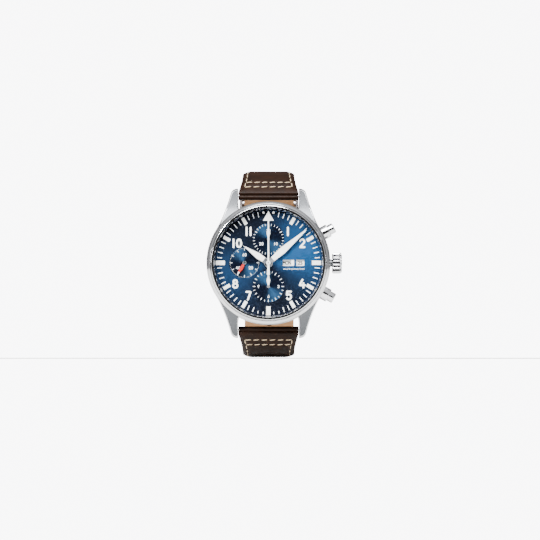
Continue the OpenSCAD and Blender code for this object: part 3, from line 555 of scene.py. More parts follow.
def turned(points, angle, at=(0, 0)):
    """Turns points (x, y) by an angle in degrees and moves them to at."""
    t = math.radians(angle)
    return np.array(points) @ np.array([[math.cos(t), math.sin(t)],
                                        [-math.sin(t), math.cos(t)]]) + at


def headings(path):
    """Unit vectors along a path."""
    run = np.gradient(path, axis=0)
    return run / np.linalg.norm(run, axis=1)[:, None]


def stroke(path, width, low, high):
    """A flat bar of constant width along a path of (x, y), with round ends.

    Its half width falls with the cosine over each end cap, to nothing at the very tip.
    """
    lift = np.radians([90, 70, 50, 30, 12])
    ends = []
    for tip, back in ((path[0], path[1]), (path[-1], path[-2])):
        way_out = (tip - back) / np.linalg.norm(tip - back)
        ends.append(tip + np.sin(lift)[:, None] * way_out * width / 2)
    line = np.concatenate([ends[0], path, ends[1][::-1]])
    half = np.full(len(line), width / 2)
    half[:5], half[-5:] = np.cos(lift) * width / 2, np.cos(lift)[::-1] * width / 2
    along = headings(line)
    side = np.stack([along[:, 1], -along[:, 0]], -1) * half[:, None]
    return np.stack([at_height(line + side, high), at_height(line - side, high),
                     at_height(line - side, low), at_height(line + side, low)])


def prism(corners, low, high):
    """A flat block with the outline of the corners; its floor and top close at the middle."""
    corners = np.array(corners, float)
    mid = np.repeat(corners.mean(0, keepdims=True), len(corners), 0)
    return np.stack([at_height(mid, low), at_height(corners, low), at_height(corners, high),
                     at_height(mid, high)])


def bar(start, stop, width, low, high, angle=0.0, at=(0, 0)):
    """A square-ended bar between two radii, turned by angle about at."""
    half = width / 2
    corners = [(start, -half), (stop, -half), (stop, half), (start, half)]
    return prism(turned(corners, angle, at), low, high)


def bow(cx, cy, rx, ry, start, stop):
    """A digit's elliptic stroke, in a box 3.4 high with its middle at 0."""
    return (cx, cy) + compass(np.linspace(start, stop, 26)) * (rx, ry)


def line(*values):
    """A digit's straight strokes from point to point, in the same box."""
    points = np.array(values, float).reshape(-1, 2)
    return np.concatenate([straight(a, b, 6) for a, b in zip(points[:-1], points[1:])] +
                          [points[-1:]])


DIGIT_BOX, TOP = 3.4, 1.325           # height with the strokes' width, and of their middles
NUMERAL_WIDTH = 0.62
DIGITS = {
    "0": [bow(0, 0, 0.74, TOP, 0, 358)],
    "1": [line(0, TOP, 0, -TOP)],
    "2": [np.concatenate([bow(0, 0.6, 0.74, 0.73, 165, -32), line(0.5, 0.02, -0.72, -TOP)]),
          line(-0.72, -TOP, 0.76, -TOP)],
    "3": [bow(0, 0.65, 0.66, 0.67, 150, -80), bow(0, -0.62, 0.76, 0.72, 88, -150)],
    "4": [line(0.1, TOP, -0.88, -0.55, 0.95, -0.55), line(0.42, 0.2, 0.42, -TOP)],
    "5": [line(0.7, TOP, -0.6, TOP, -0.68, 0.12), bow(-0.02, -0.47, 0.76, 0.85, 140, -145)],
    "6": [bow(0, -0.5, 0.74, 0.82, 0, 358), line(-0.7, -0.2, 0.3, TOP)],
    "7": [line(-0.74, TOP, 0.74, TOP, -0.22, -TOP)],
    "8": [bow(0, 0.68, 0.6, 0.64, 0, 358), bow(0, -0.62, 0.75, 0.71, 0, 358)],
    "9": [bow(0, 0.5, 0.74, 0.82, 0, 358), line(0.7, 0.2, -0.3, -TOP)],
}


def digit(char, centre, height, width, low, high):
    """The strokes of a digit at a centre."""
    return [stroke(path * height / DIGIT_BOX + centre, width, low, high)
            for path in DIGITS[char]]


lume = mottled("white_luminous_compound", "#f7f8f4", "#e9ebe6", 9000, 3, Roughness=0.55,
               Subsurface_Weight=0.15, Subsurface_Radius=(0.001, 0.001, 0.001))
print_white = mottled("white_pad_print", "#eef2f5", "#dfe6ec", 6000, Roughness=0.5)

on_dial, block, film = dial_top + 0.001, dial_top + 0.16, dial_top + 0.03
markers = []
for hour in range(1, 12):
    start, stop, width = (15.1, 18.2, 1.5) if hour in (3, 6, 9) else (15.4, 17.95, 1.15)
    markers.append(bar(start, stop, width, on_dial, block, 90 - hour * 30))
markers.append(prism([(0, 17.95), (-1.88, 14.6), (1.88, 14.6)], on_dial, block))
for side in (-1, 1):
    markers.append(prism(0.43 * compass(np.arange(0, 360, 20)) + [side * 1.72, 17.4],
                         on_dial, block))
solid("hour_markers", markers, [lume], "case", sharp=30)

numerals = []
for text, places in {"11": [(-7.55, 10.9), (-6.18, 10.9)], "1": [(6.76, 10.9)],
                     "10": [(-12.1, 6.77), (-10.2, 6.77)], "2": [(11.7, 6.77)],
                     "4": [(11.7, -7.2)], "5": [(7.1, -11.3)], "7": [(-6.9, -11.4)],
                     "8": [(-11.5, -7.3)]}.items():
    for char, centre in zip(text, places):
        numerals += digit(char, centre, DIGIT_BOX, NUMERAL_WIDTH, on_dial, film + 0.04)
solid("dial_numerals", numerals, [lume], "case", sharp=30, open_from=0)

ticks, small_digits = [], []
for minute in range(60):
    if minute % 5 and minute not in (1, 59):
        inner = 17.1 if minute in (28, 29, 31, 32) else 16.2
        ticks.append(bar(inner, 17.9, 0.27, on_dial, film, 90 - minute * 6))
counter_low, counter_high = dial_top - 0.085, dial_top - 0.065
# Each counter's ticks, how many make a long one, and the (start, stop, width) of both
LONG, SHORT = (4.55, 5.38, 0.2), (4.75, 5.38, 0.13)
for name, count, every, long, short in (
        ("seconds", 60, 5, (4.25, 5.1, 0.17), (4.9, 5.1, 0.07)),
        ("minutes", 30, 5, LONG, SHORT), ("hours", 24, 2, LONG, SHORT)):
    for k in range(count):
        ticks.append(bar(*(short if k % every else long), counter_low, counter_high,
                         90 + k * 360 / count, COUNTERS[name][0]))
# Each counter's figures: their radius, and where they stand in degrees
SMALL_BOX, SMALL_WIDTH, SMALL_STEP = 1.15, 0.17, 0.78
small = {"minutes": (2.95, {"30": 90, "20": 213, "10": 327}),
         "hours": (3.45, {"3": 0, "6": 270, "9": 180}),
         "seconds": (2.8, {"60": 90, "20": 322, "40": 218})}
for name, (word_r, words) in small.items():
    for text, angle in words.items():
        for i, char in enumerate(text):
            shift = (i - (len(text) - 1) / 2) * SMALL_STEP
            spot = COUNTERS[name][0] + word_r * compass(angle) + [shift, 0]
            small_digits += digit(char, spot, SMALL_BOX, SMALL_WIDTH, counter_low, counter_high)
solid("dial_print", ticks + small_digits, [print_white], "case", sharp=30,
      open_from=len(ticks))


# ---- Day and date ----
# Two white discs under the dial, printed black: seven days inside, thirty-one dates outside.
# The windows' bevelled frames are part of the dial.

disc_white = mottled("white_calendar_print", "#f4f4f0", "#e6e6e0", 4000, Roughness=0.45)
ink = mottled("black_calendar_ink", "#101012", "#1d1d20", 4000, Roughness=0.5)
dress("date_disc", disc_white)
dress("day_disc", disc_white)
disc_top = top_of("date_disc")
BOLD = ((-0.08, 0.05), (0.08, 0.05), (-0.08, -0.05), (0.08, -0.05))


def lettering(name, words, body, material, height, low, letter_w, bold=((0, 0),)):
    """Words of plain sans lettering, each (text, centre, turn), as one flat mesh.

    Each word is scaled to the height, and to letter_w millimetres for every letter. It is
    struck once for each (x, y) step in bold, which makes its strokes broader.
    """
    work = bmesh.new()
    for text, centre, turn in words:
        curve = bpy.data.curves.new(name, "FONT")
        curve.body = text
        curve.align_x = "CENTER"
        curve.align_y = "CENTER"
        curve.size = height / 0.7
        curve.resolution_u = 3
        holder = bpy.data.objects.new(name, curve)
        scene.collection.objects.link(holder)
        flat = bpy.data.meshes.new_from_object(holder.evaluated_get(
            bpy.context.evaluated_depsgraph_get()))
        bpy.data.objects.remove(holder)
        co = np.empty(len(flat.vertices) * 3)
        flat.vertices.foreach_get("co", co)
        co = co.reshape(-1, 3)[:, :2]
        co -= (co.max(0) + co.min(0)) / 2
        co *= [len(text) * letter_w, height] / (co.max(0) - co.min(0))
        for k, step in enumerate(bold):
            layer = at_height(turned(co + step, turn, centre), low + 0.001 * k)
            verts = [work.verts.new(p) for p in upright(layer)]
            for face in flat.polygons:
                work.faces.new([verts[i] for i in face.vertices])
        bpy.data.meshes.remove(flat)
    bmesh.ops.remove_doubles(work, verts=work.verts[:], dist=1e-8)
    for face in work.faces:
        face.normal_update()
        if face.normal.y > 0:
            face.normal_flip()
    mesh = bpy.data.meshes.new(name)
    work.to_mesh(mesh)
    work.free()
    placed(name, mesh, [material], body)


def ring_of(words, radius, shown):
    """Places words round a disc so that the shown one stands upright at three o'clock."""
    first, step = words.index(shown), 360 / len(words)
    return [(word, radius * compass((first - k) * step), (first - k) * step)
            for k, word in enumerate(words)]


lettering("date_numbers", ring_of([str(n) for n in range(1, 32)], 11.0, "25"), "date", ink, 1.3,
          disc_top + 0.012, 0.76, BOLD)
lettering("day_names", ring_of(["MON", "TUE", "WED", "THU", "FRI", "SAT", "SUN"], 6.43, "MON"),
          "day", ink, 1.3, disc_top + 0.012, 0.92, BOLD)
lettering("dial_word", [("AUTOMATIC", (8.83, -2.15), 0)], "case", print_white, 0.5, film, 0.84)
# The day disc ends inside its window; a white ledge fills the rest
solid("day_window_ledge", [prism([(7.9, -1.06), (8.88, -1.06), (8.88, 1.06), (7.9, 1.06)],
                                 dial_top - 0.24, dial_top - 0.2)],
      [disc_white], "case")


# ---- Hands ----
# Polished steel hands, the long ones filled with luminous compound; the counters' are white
# and the small seconds hand is red with a white tip.

def plate(stations, angle, low, high, at=(0, 0), bevel=0.06):
    """A flat blade with bevelled upper edges, from stations of (distance, half width).

    Each station's section has six corners; at both ends it shrinks to its own middle.
    """
    s, half = np.array(stations, float).T
    inner = half - np.minimum(bevel, half * 0.5)
    rows = np.stack([at_height(turned(np.stack([s, y], -1), angle, at), z) for y, z in (
        (-half, low), (half, low), (half, high - bevel), (inner, high), (-inner, high),
        (-half, high - bevel))])
    middle = np.repeat(rows.mean(0, keepdims=True), 6, 0)
    return np.concatenate([middle[:, :1], rows, middle[:, -1:]], 1)


def hub(radius, low, high, at=(0, 0), bore=0.0):
    """A low round boss with a rounded edge."""
    return lathe([(bore, low), (radius, low), (radius, high - 0.06), (radius - 0.06, high),
                  (bore, high)], 64, at)


hand_grey = polished_steel("brushed_hand_hub", "#9fa3aa", 0.3)
HOUR = [(0.9, 0.95), (1.6, 1.02), (4.3, 1.19), (10.1, 0.2), (10.6, 0.08), (10.7, 0.005)]
MINUTE = [(0.9, 0.9), (1.6, 0.98), (6.6, 1.34), (17.0, 0.34), (17.6, 0.16), (17.82, 0.005)]
HOUR_FILL = [(1.95, 0.9), (4.3, 1.04), (9.9, 0.13), (10.3, 0.02)]
MINUTE_FILL = [(1.95, 0.86), (6.6, 1.18), (16.8, 0.24), (17.4, 0.04)]
chrono_low, small_low = 11.81, 10.46
for name, hub_r, low, turn, blade, fill in (
        ("hour", 1.62, 10.86, 90 - 304.1, HOUR, HOUR_FILL),
        ("minute", 1.5, 11.36, 90 - 49.1, MINUTE, MINUTE_FILL)):
    solid(name + "_hand_steel", [hub(hub_r, low - 0.01, low + 0.19),
                                 plate(blade, turn, low, low + 0.18)],
          [hand_grey], name + "s", [name + "_hand"], open_from=1)
    solid(name + "_hand_lume", [plate(fill, turn, low + 0.15, low + 0.21)], [lume], name + "s",
          open_from=0)
white_hand = mottled("white_lacquered_steel", "#f1f2f0", "#e2e4e3", 5000, Roughness=0.35,
                     Coat_Weight=0.3)
solid("chrono_hand_white", [
    hub(0.73, chrono_low, chrono_low + 0.3),
    plate([(0.3, 0.25), (17.2, 0.2), (17.9, 0.1)], 90, chrono_low, chrono_low + 0.13, bevel=0.03),
    plate([(0.3, 0.32), (3.8, 0.5), (4.2, 0.5)], -90, chrono_low, chrono_low + 0.13, bevel=0.03)],
    [white_hand], "chronograph", ["chrono_hand"], open_from=1)
solid("chrono_hand_pin", [hub(0.27, chrono_low + 0.2, chrono_low + 0.36)], [hand_grey],
      "chronograph")
POINTER = [(0.3, 0.22), (2.1, 0.62), (4.3, 0.12), (4.8, 0.03)]
for name in ("minute", "hour"):
    body, centre = name + "_counter", COUNTERS[name + "s"][0]
    solid(body + "_hand_white", [plate(POINTER, 90, small_low, small_low + 0.12, centre, 0.03)],
          [white_hand], body, [body + "_hand"], open_from=0)
    solid(body + "_hub", [hub(0.55, small_low - 0.01, small_low + 0.2, centre)], [hand_grey], body)
red = mottled("red_lacquered_steel", "#b81c12", "#97140d", 5000, Roughness=0.35, Coat_Weight=0.3)
seconds_at, seconds_angle = COUNTERS["seconds"][0], 90 - 210.8
solid("small_seconds_hand_white", [plate([(0.3, 0.3), (2.2, 0.62), (4.4, 0.16), (4.86, 0.03)],
                                         seconds_angle, small_low, small_low + 0.1, seconds_at,
                                         0.03)],
      [white_hand], "seconds", ["small_seconds_hand"], open_from=0)
solid("small_seconds_hand_red", [plate([(0.3, 0.32), (2.2, 0.65), (3.7, 0.34)], seconds_angle,
                                       small_low - 0.005, small_low + 0.13, seconds_at, 0.02)],
      [red], "seconds", open_from=0)
solid("small_seconds_hub", [hub(0.68, small_low - 0.01, small_low + 0.2, seconds_at)], [hand_grey],
      "seconds")


# ---- Crown and pushers ----
# The crown is turned and cut with round-bottomed flutes; each pusher is a polished cap in a
# wider polished collar, standing square to the case's wall.

def along_x(grid, turn=0):
    """Stands a piece, turned about z, along x at the stem's height, and swings it round z."""
    flat = turned(grid[..., [2, 1]], turn)
    return np.concatenate([flat, stem_z - grid[..., :1]], -1)


crown_lo, crown_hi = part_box("crown")
stem_z = -float(crown_lo[1] + crown_hi[1]) / 2 * 1000
crown_in, crown_out = crown_lo[0] * 1000, crown_hi[0] * 1000
crown_r = float(crown_hi[2]) * 1000 - 0.02
FLUTES = 16


def fluted(profile, depth, steps=320):
    """A profile of (radius, height, share of flute) turned with rounded flutes.

    The radius is reduced by depth times the share times a power of a cosine wave, so the ribs
    between the flutes are broad and round.
    """
    p = np.array(profile, float)
    a = np.linspace(0, TURN, steps, endpoint=False)
    wave = np.abs(np.cos(a * FLUTES / 2)) ** 2.4
    r = p[:, :1] - depth * p[:, 2:] * wave
    return np.stack([r * np.cos(a), r * np.sin(a), p[:, 1:2] + 0 * a], -1)


solid("crown_steel", [along_x(fluted([
    (0.5, crown_in + 0.6, 0), (2.9, crown_in + 0.6, 0), (3.0, crown_in + 0.02, 0),
    (crown_r - 0.55, crown_in + 0.02, 0), (crown_r - 0.2, crown_in + 0.2, 0.4),
    (crown_r, crown_in + 0.5, 1), (crown_r, crown_out - 0.75, 1),
    (crown_r - 0.1, crown_out - 0.5, 0.9), (crown_r - 0.35, crown_out - 0.2, 0.4),
    (crown_r - 0.75, crown_out - 0.02, 0), (0.5, crown_out - 0.01, 0), (0, crown_out - 0.01, 0),
    (0, crown_in + 0.6, 0)], 0.8))],
    [steel_mirror], "crown_and_stem", ["crown"], sharp=40)
# Painted shade: a dark core inside the crown, showing at the bottoms of the flutes where shade
# falls.
painted_flute_shade = mottled("painted_flute_shade_steel", "#1d1d20", "#2b2b2e", 5000, Metallic=1.0, Roughness=0.55)
solid("crown_flute_shade_core", [along_x(lathe([
    (crown_r - 0.9, crown_in + 0.4), (crown_r - 0.4, crown_in + 0.45),
    (crown_r - 0.4, crown_out - 0.75), (crown_r - 0.9, crown_out - 0.6)], 96))],
    [painted_flute_shade], "crown_and_stem", sharp=40)
pusher_steel = polished_steel("polished_pusher_steel", "#dcdddf", 0.05)
PUSHERS = {"start": 28.5, "reset": -28.5}     # degrees round the dial from the crown
CAP = [(0, 22.95), (1.78, 22.95), (1.79, 25.55), (1.74, 25.72), (1.6, 25.86), (1.4, 25.93),
       (0, 25.94)]
SHANK = [(0, 13.6), (0.44, 13.6), (0.44, 15.1), (0.68, 15.1), (0.68, 22.96), (0, 22.96)]
COLLAR = [(1.3, 20.92), (2.34, 20.92), (2.34, 23.6), (2.3, 23.74), (2.16, 23.83), (1.9, 23.84),
          (1.86, 23.8), (1.86, 21.82), (1.3, 21.82)]
TUBE = [(0.76, 18.42), (1.49, 18.42), (1.49, 20.95), (1.26, 20.95), (1.26, 20.3), (0.76, 20.3)]
collars = []
for name, turn in PUSHERS.items():
    solid(name + "_pusher_cap", [along_x(lathe(CAP, 96), turn), along_x(lathe(SHANK, 32), turn)],
          [pusher_steel], name + "_button", [name + "_pusher"], sharp=30)
    collars += [along_x(lathe(COLLAR, 96), turn), along_x(lathe(TUBE, 64), turn)]
solid("pusher_collars", collars, [pusher_steel], "case", ["pusher_tubes"],
      sharp=30)


# ---- Strap ----
# Two halves of smooth dark-brown calf, padded, lined and saddle-stitched with waxed thread.
# Each half is folded round its spring bar, and the upper one also round the buckle's pin.

BAR = np.array([23.4, 2.6])          # watch y and z of the upper spring bar
LEAD, BEND = 35.0, 18.0              # degrees below the dial at the bar, and the bend's radius
bend_end = BEND * math.radians(90 - LEAD)
STRAPS = {"upper": (80.0, 73.0), "lower": (150.0, 110.0)}     # second curve's radius, length
PIN_AT = STRAPS["upper"][1]          # the buckle's pin, along the upper half
THICK, THICK_END = 3.6, 2.4
BAR_R, PIN_R = 0.96, 0.66            # radii of the bores for the spring bar and the pin
HOLES, HOLE_PITCH, LAST_HOLE = 7, 6.5, 22     # the tail's holes, counted from its tip
PIN_WRAP = 1.4                       # radius of the leather turned back round the buckle's pin


def strap_line(s, half):
    """Side view of a strap's centre line: points (y, z), headings and outward directions.

    The heading grows as distance over the bend's radius until it points straight down, then
    as distance over the second radius.
    """
    s = np.asarray(s, float)
    radius, lead = STRAPS[half][0], math.radians(LEAD)
    start, down = np.array([math.sin(lead), math.cos(lead)]), np.array([1.0, 0.0])
    first = s < bend_end
    h = np.where(first, lead + s / BEND, math.pi / 2 + (s - bend_end) / radius)
    out = np.stack([np.sin(h), np.cos(h)], -1)
    knee = BAR + BEND * (down - start)
    p = np.where(first[..., None], BAR + BEND * (out - start), knee + radius * (out - down))
    return p, h, out


def half_thick(s, half):
    """Half the strap's thickness, thinning evenly along its length."""
    return (THICK + (THICK_END - THICK) * np.clip(s / STRAPS[half][1], 0, 1)) / 2


def half_width(s, half):
    """Half the strap's width: full between the lugs, then a smooth waist, then straight."""
    ease = np.clip((s - 1.2) / 11, 0, 1)
    wide = 10.48 - 1.4 * (ease * (2 - ease)) - 0.08 * np.clip((s - 12) / 10, 0, 1)
    if half == "lower":
        left = np.clip((STRAPS[half][1] - s) / 9.5, 0, 1)
        wide = wide * (0.13 + 0.87 * np.sqrt(1 - (1 - left) ** 2.4))
    return wide


NOSE_TOP = np.array([
    [21.98, 2.6], [22.02, 2.95], [22.14, 3.3], [22.33, 3.62], [22.57, 3.86], [22.84, 3.99],
    [23.1, 4.0], [23.32, 3.92], [23.5, 3.78], [23.62, 3.7], [23.74, 3.75], [23.88, 3.92],
    [24.08, 4.1], [24.33, 4.2], [24.6, 4.18], [24.86, 4.04], [25.1, 3.84]])
NOSE_LOW = np.array([
    [21.98, 2.6], [22.0, 2.4], [22.05, 2.2], [22.11, 2.02], [22.19, 1.84], [22.28, 1.68],
    [22.4, 1.53], [22.52, 1.4], [22.66, 1.28], [22.8, 1.2], [22.95, 1.12], [23.1, 1.06],
    [23.24, 1.0], [23.36, 0.93], [23.45, 0.86], [23.53, 0.78], [23.6, 0.7]])
BODY_START = 1.35                    # where the padded body begins, along the strap
ROW_AT = (2.75, 4.95)                # the two rows of stitches across the strap
SEAM_IN = 1.75                       # distance of the side rows from the edge


def strap_skin(half, across=44):
    """The closed skin of a strap half, as (around the section, along the strap, 3).

    Along the strap the upper and lower outlines start together at the nose and end together
    at the tip. Across it the top falls by a square towards the edges, dips along the seams,
    and meets a flat painted edge.
    """
    length, tip = STRAPS[half][1], 1.1
    if half == "upper":
        length, tip = length + PIN_WRAP, PIN_WRAP
    s = np.concatenate([np.arange(BODY_START, 22, 0.3), np.arange(22, length - tip, 0.9),
                        length - tip * (1 - np.sin(np.radians([0, 25, 45, 62, 76, 86, 90])))])
    p, _, out = strap_line(s, half)
    fade = np.sqrt(np.clip(1 - (np.clip(s - length + tip, 0, None) / tip) ** 2, 0, 1))
    t = (half_thick(s, half) * fade)[:, None]
    if half == "upper":
        t *= 1 + (PIN_WRAP / 1.2 - 1) * np.clip((s - length + 4) / 2.6, 0, 1)[:, None]
    left = (1 - np.clip((s - BODY_START) / 2.0, 0, 1)[:, None]) ** 2
    low, top = p - out * t, p + out * t
    low = np.concatenate([NOSE_LOW, low + (NOSE_LOW[-1] - low[0]) * left])
    top = np.concatenate([NOSE_TOP, top + (NOSE_TOP[-1] + [0.25, -0.2] - top[0]) * left])
    s_all = np.concatenate([np.linspace(-1.6, BODY_START - 0.3, len(NOSE_TOP)), s])
    wide = half_width(s_all, half)[:, None]
    on_body = np.clip((s_all - BODY_START) / 1.5, 0, 1)[:, None]
    u = np.sin(np.linspace(-1, 1, across) * math.pi / 2 * 0.93)
    x = wide * (u / u[-1]) * (1 - 0.15 / wide)
    edge = wide - np.abs(x)
    crown = 1 - 0.3 * on_body * np.clip(1 - edge / 3.2, 0, 1) ** 2
    begun = np.clip((s_all - 2.4) / 0.3, 0, 1)[:, None]
    seam = -0.16 * np.exp(-((edge - SEAM_IN) / 0.3) ** 2) * begun
    for at in ROW_AT:
        row = np.exp(-((s_all - at) / 0.3) ** 2)[:, None]
        seam = seam - 0.14 * row * (edge > SEAM_IN)
    rise = top - low
    gap = np.maximum(np.linalg.norm(rise, axis=1)[:, None], 0.4)
    over = low[:, None] + rise[:, None] * np.minimum(crown + seam / gap, 1.0)[..., None]
    under = np.repeat(low[:, None], across, 1)
    rim_x = wide * np.ones(3)
    rim = low[:, None] + rise[:, None] * np.array([0.66, 0.42, 0.16])[None, :, None]
    grid = np.concatenate([np.concatenate([a[..., None], b], -1) for a, b in (
        (x, over), (rim_x, rim), (x[:, ::-1], under), (-rim_x, rim[:, ::-1]))], 1)
    grid = grid.transpose(1, 0, 2) * [1, 1 if half == "upper" else -1, 1]
    return grid, [0] * (across - 1) + [1] * 4 + [2] * (across - 1) + [1] * 4


def strap_point(s, x, half, lift=-0.04):
    """Points of the strap's top face, lift millimetres above it, and its outward directions."""
    p, _, out = strap_line(s, half)
    edge = half_width(s, half) - np.abs(x)
    crown = 1 - 0.3 * np.clip((s - BODY_START) / 1.5, 0, 1) * np.clip(1 - edge / 3.2, 0, 1) ** 2
    t = half_thick(s, half)
    flat = p + out * (-t + 2 * t * crown + lift)[..., None]
    flip = 1 if half == "upper" else -1
    return (np.stack([x, flip * flat[:, 0], flat[:, 1]], -1),
            np.stack([0 * x, flip * out[:, 0], out[:, 1]], -1))


def leather(name, dark, light, pore, gloss):
    """Aniline calf: cloudy colour, fine pores about 0.35 mm apart, and long soft creases."""
    material, tree, shader = new_material(name, Specular_IOR_Level=0.09, Coat_Weight=0.02,
                                          Coat_Roughness=0.3)
    rubbed = grain(tree, 1400, 4)
    clouds, worn_through = [
        node(tree, "MapRange", {"From Min": 0.3, "From Max": 0.7, "To Max": most},
             {"Value": field}).outputs[0]
        for field, most in ((grain(tree, 260, 5), 1), (rubbed, 0.35))]
    base = node(tree, "Mix", {"data_type": "RGBA", 6: colour(dark), 7: colour(light)},
                {0: clouds}).outputs[2]
    worn(tree, shader, worn_through, (base, light))
    worn(tree, shader, rubbed, rough=(gloss - 0.07, gloss + 0.1))
    place = node(tree, "TexCoord").outputs["Object"]
    pores = node(tree, "TexVoronoi", {"Scale": 2900.0, "feature": "SMOOTH_F1"},
                 {"Vector": place}).outputs["Distance"]
    creases = grain(tree, 700, 5, (1, 3, 3))
    height = node(tree, "Math", {"operation": "MULTIPLY_ADD", 1: pore},
                  {0: pores, 2: creases}).outputs[0]
    worn(tree, shader, height, relief=(0.35, 6e-5))
    return material


calf = leather("dark_brown_calf", "#0d0502", "#1e0e05", 0.45, 0.46)
lining = leather("tan_calf_lining", "#7d5a3c", "#946e4c", 0.3, 0.6)
edge_paint = mottled("burnished_edge_paint", "#1b0e08", "#2c180e", 1500, 3, (2500, 0.2, 4e-5),
                     Roughness=0.35, Coat_Weight=0.2)
thread = mottled("waxed_linen_thread", "#cdb898", "#a8906d", 6000, Roughness=0.6,
                 Sheen_Weight=0.3)
tree = thread.node_tree
place = node(tree, "TexCoord").outputs["Object"]
plies = node(tree, "TexWave", {"Scale": 1100.0, "Distortion": 1.0,
                               "bands_direction": "DIAGONAL"}, {"Vector": place})
worn(tree, tree.nodes["Principled BSDF"], plies.outputs["Fac"], relief=(0.4, 5e-5))


def cut_with(piece, cutters):
    """Cuts a piece with closed cutter grids in watch axes, and removes the cutters."""
    tool = bpy.data.objects.new("cutter", skin("cutter", cutters))
    tool.data.materials.append(edge_paint)
    scene.collection.objects.link(tool)
    cut = piece.modifiers.new("cut", "BOOLEAN")
    cut.object = tool
    cut.operation = "DIFFERENCE"
    cut.solver = "EXACT"
    cut.material_mode = "TRANSFER"
    made = bpy.data.meshes.new_from_object(piece.evaluated_get(
        bpy.context.evaluated_depsgraph_get()))
    piece.modifiers.clear()
    old = piece.data
    piece.data = made
    made.name = old.name
    bpy.data.meshes.remove(old)
    bpy.data.objects.remove(tool)
    piece.data.set_sharp_from_angle(angle=math.radians(40))


def on_strap(grid, s, half):
    """Places a grid of local (across, along, outward) at distance s along a strap half."""
    p, h, out = strap_line(np.array(float(s)), half)
    g = np.asarray(grid, float)
    y = p[0] + g[..., 1] * math.cos(h) + g[..., 2] * math.sin(h)
    z = p[1] - g[..., 1] * math.sin(h) + g[..., 2] * math.cos(h)
    return np.stack([g[..., 0], y if half == "upper" else -y, z], -1)


def across_x(grid):
    """Lays a piece turned about z along x."""
    g = np.asarray(grid, float)
    return np.stack([g[..., 2], g[..., 0], g[..., 1]], -1)


def rod(radius, half, steps=32):
    """A closed rod about z, from -half to half."""
    return lathe([(0, -half), (radius, -half), (radius, half), (0, half)], steps)


skins = {}
for half, (_, length) in STRAPS.items():
    grid, kinds = strap_skin(half)
    skins[half] = solid("strap_" + half + "_leather", [grid], [calf, edge_paint, lining],
                        half + "_strap", ["strap_" + half], sharp=50,
                        faces=[kinds], open_from=0)
    flip = 1 if half == "upper" else -1
    cutters = [across_x(rod(BAR_R, 11.5)) + [0, flip * BAR[0], BAR[1]]]
    if half == "lower":
        cutters += [on_strap(rod(0.9, 3, 24), length - LAST_HOLE - HOLE_PITCH * k, half)
                    for k in range(HOLES)]
    cut_with(skins[half], cutters)

STITCH, PITCH = 2.3, 2.7             # millimetres, a stitch and the step from one to the next


def stitches(centres, forwards, ups, radius=0.15):
    """Plump stitches: ellipses along forwards, thickest in the middle, sunk at both ends."""
    a = np.linspace(0, TURN, 8, endpoint=False)
    t = np.linspace(-1, 1, 7)
    girth = radius * np.sqrt(np.clip(1 - np.abs(t) ** 2.6, 0, 1))[:, None]
    f = forwards / np.linalg.norm(forwards, axis=1)[:, None]
    side = np.cross(f, ups)
    lift = (-0.1 * t ** 2)[:, None] + 0.8 * girth * np.sin(a)
    rows = (centres[:, None, None] + f[:, None, None] * (t * STITCH / 2)[None, :, None, None]
            + side[:, None, None] * (girth * np.cos(a))[None, ..., None]
            + ups[:, None, None] * lift[None, ..., None])
    return list(rows.transpose(0, 2, 1, 3))


for half, (_, length) in STRAPS.items():
    beads = []
    end = length - (9.0 if half == "upper" else 9.5)
    s = np.arange(ROW_AT[0] + 1.2, end, PITCH)
    for side in (-1, 1):
        here, up = strap_point(s, side * (half_width(s, half) - SEAM_IN), half)
        ahead, _ = strap_point(s + 0.5, side * (half_width(s + 0.5, half) - SEAM_IN), half)
        beads += stitches(here, (ahead - here) / 0.5 + [side * 0.06, 0, 0], up)
    for at in ROW_AT:
        reach_x = half_width(np.array(at), half) - SEAM_IN - 1.3
        here, up = strap_point(np.full(6, at), np.linspace(-reach_x, reach_x, 6), half)
        beads += stitches(here, [1.0, 0, 0] + 0.13 * np.cross(up, [1.0, 0, 0]), up)
    if half == "lower":
        s = np.linspace(length - 8.5, length - 2.9, 60)
        x = np.append(np.clip(half_width(s, half) - SEAM_IN, 0, None), 0)
        path, up = strap_point(np.append(s, length - 2.6), x, half)
        run = np.append(0, np.cumsum(np.linalg.norm(np.diff(path, axis=0), axis=1)))
        pick = np.searchsorted(run, np.linspace(0.6, run[-1] - 0.9, 4))
        way_on = path[np.minimum(pick + 2, len(path) - 1)] - path[pick - 1]
        for mirror in ([1, 1, 1], [-1, 1, 1]):
            beads += stitches(path[pick] * mirror, way_on * mirror, up[pick] * mirror)
    solid("strap_" + half + "_stitches", beads, [thread], half + "_strap",
          sharp=80, open_from=0)


# ---- Keepers and buckle ----
# The keepers are bands of the same calf, edge-painted; the fixed one is sewn behind the pin.
# The buckle is cast steel, polished, with its tongue wrapped round the pin.

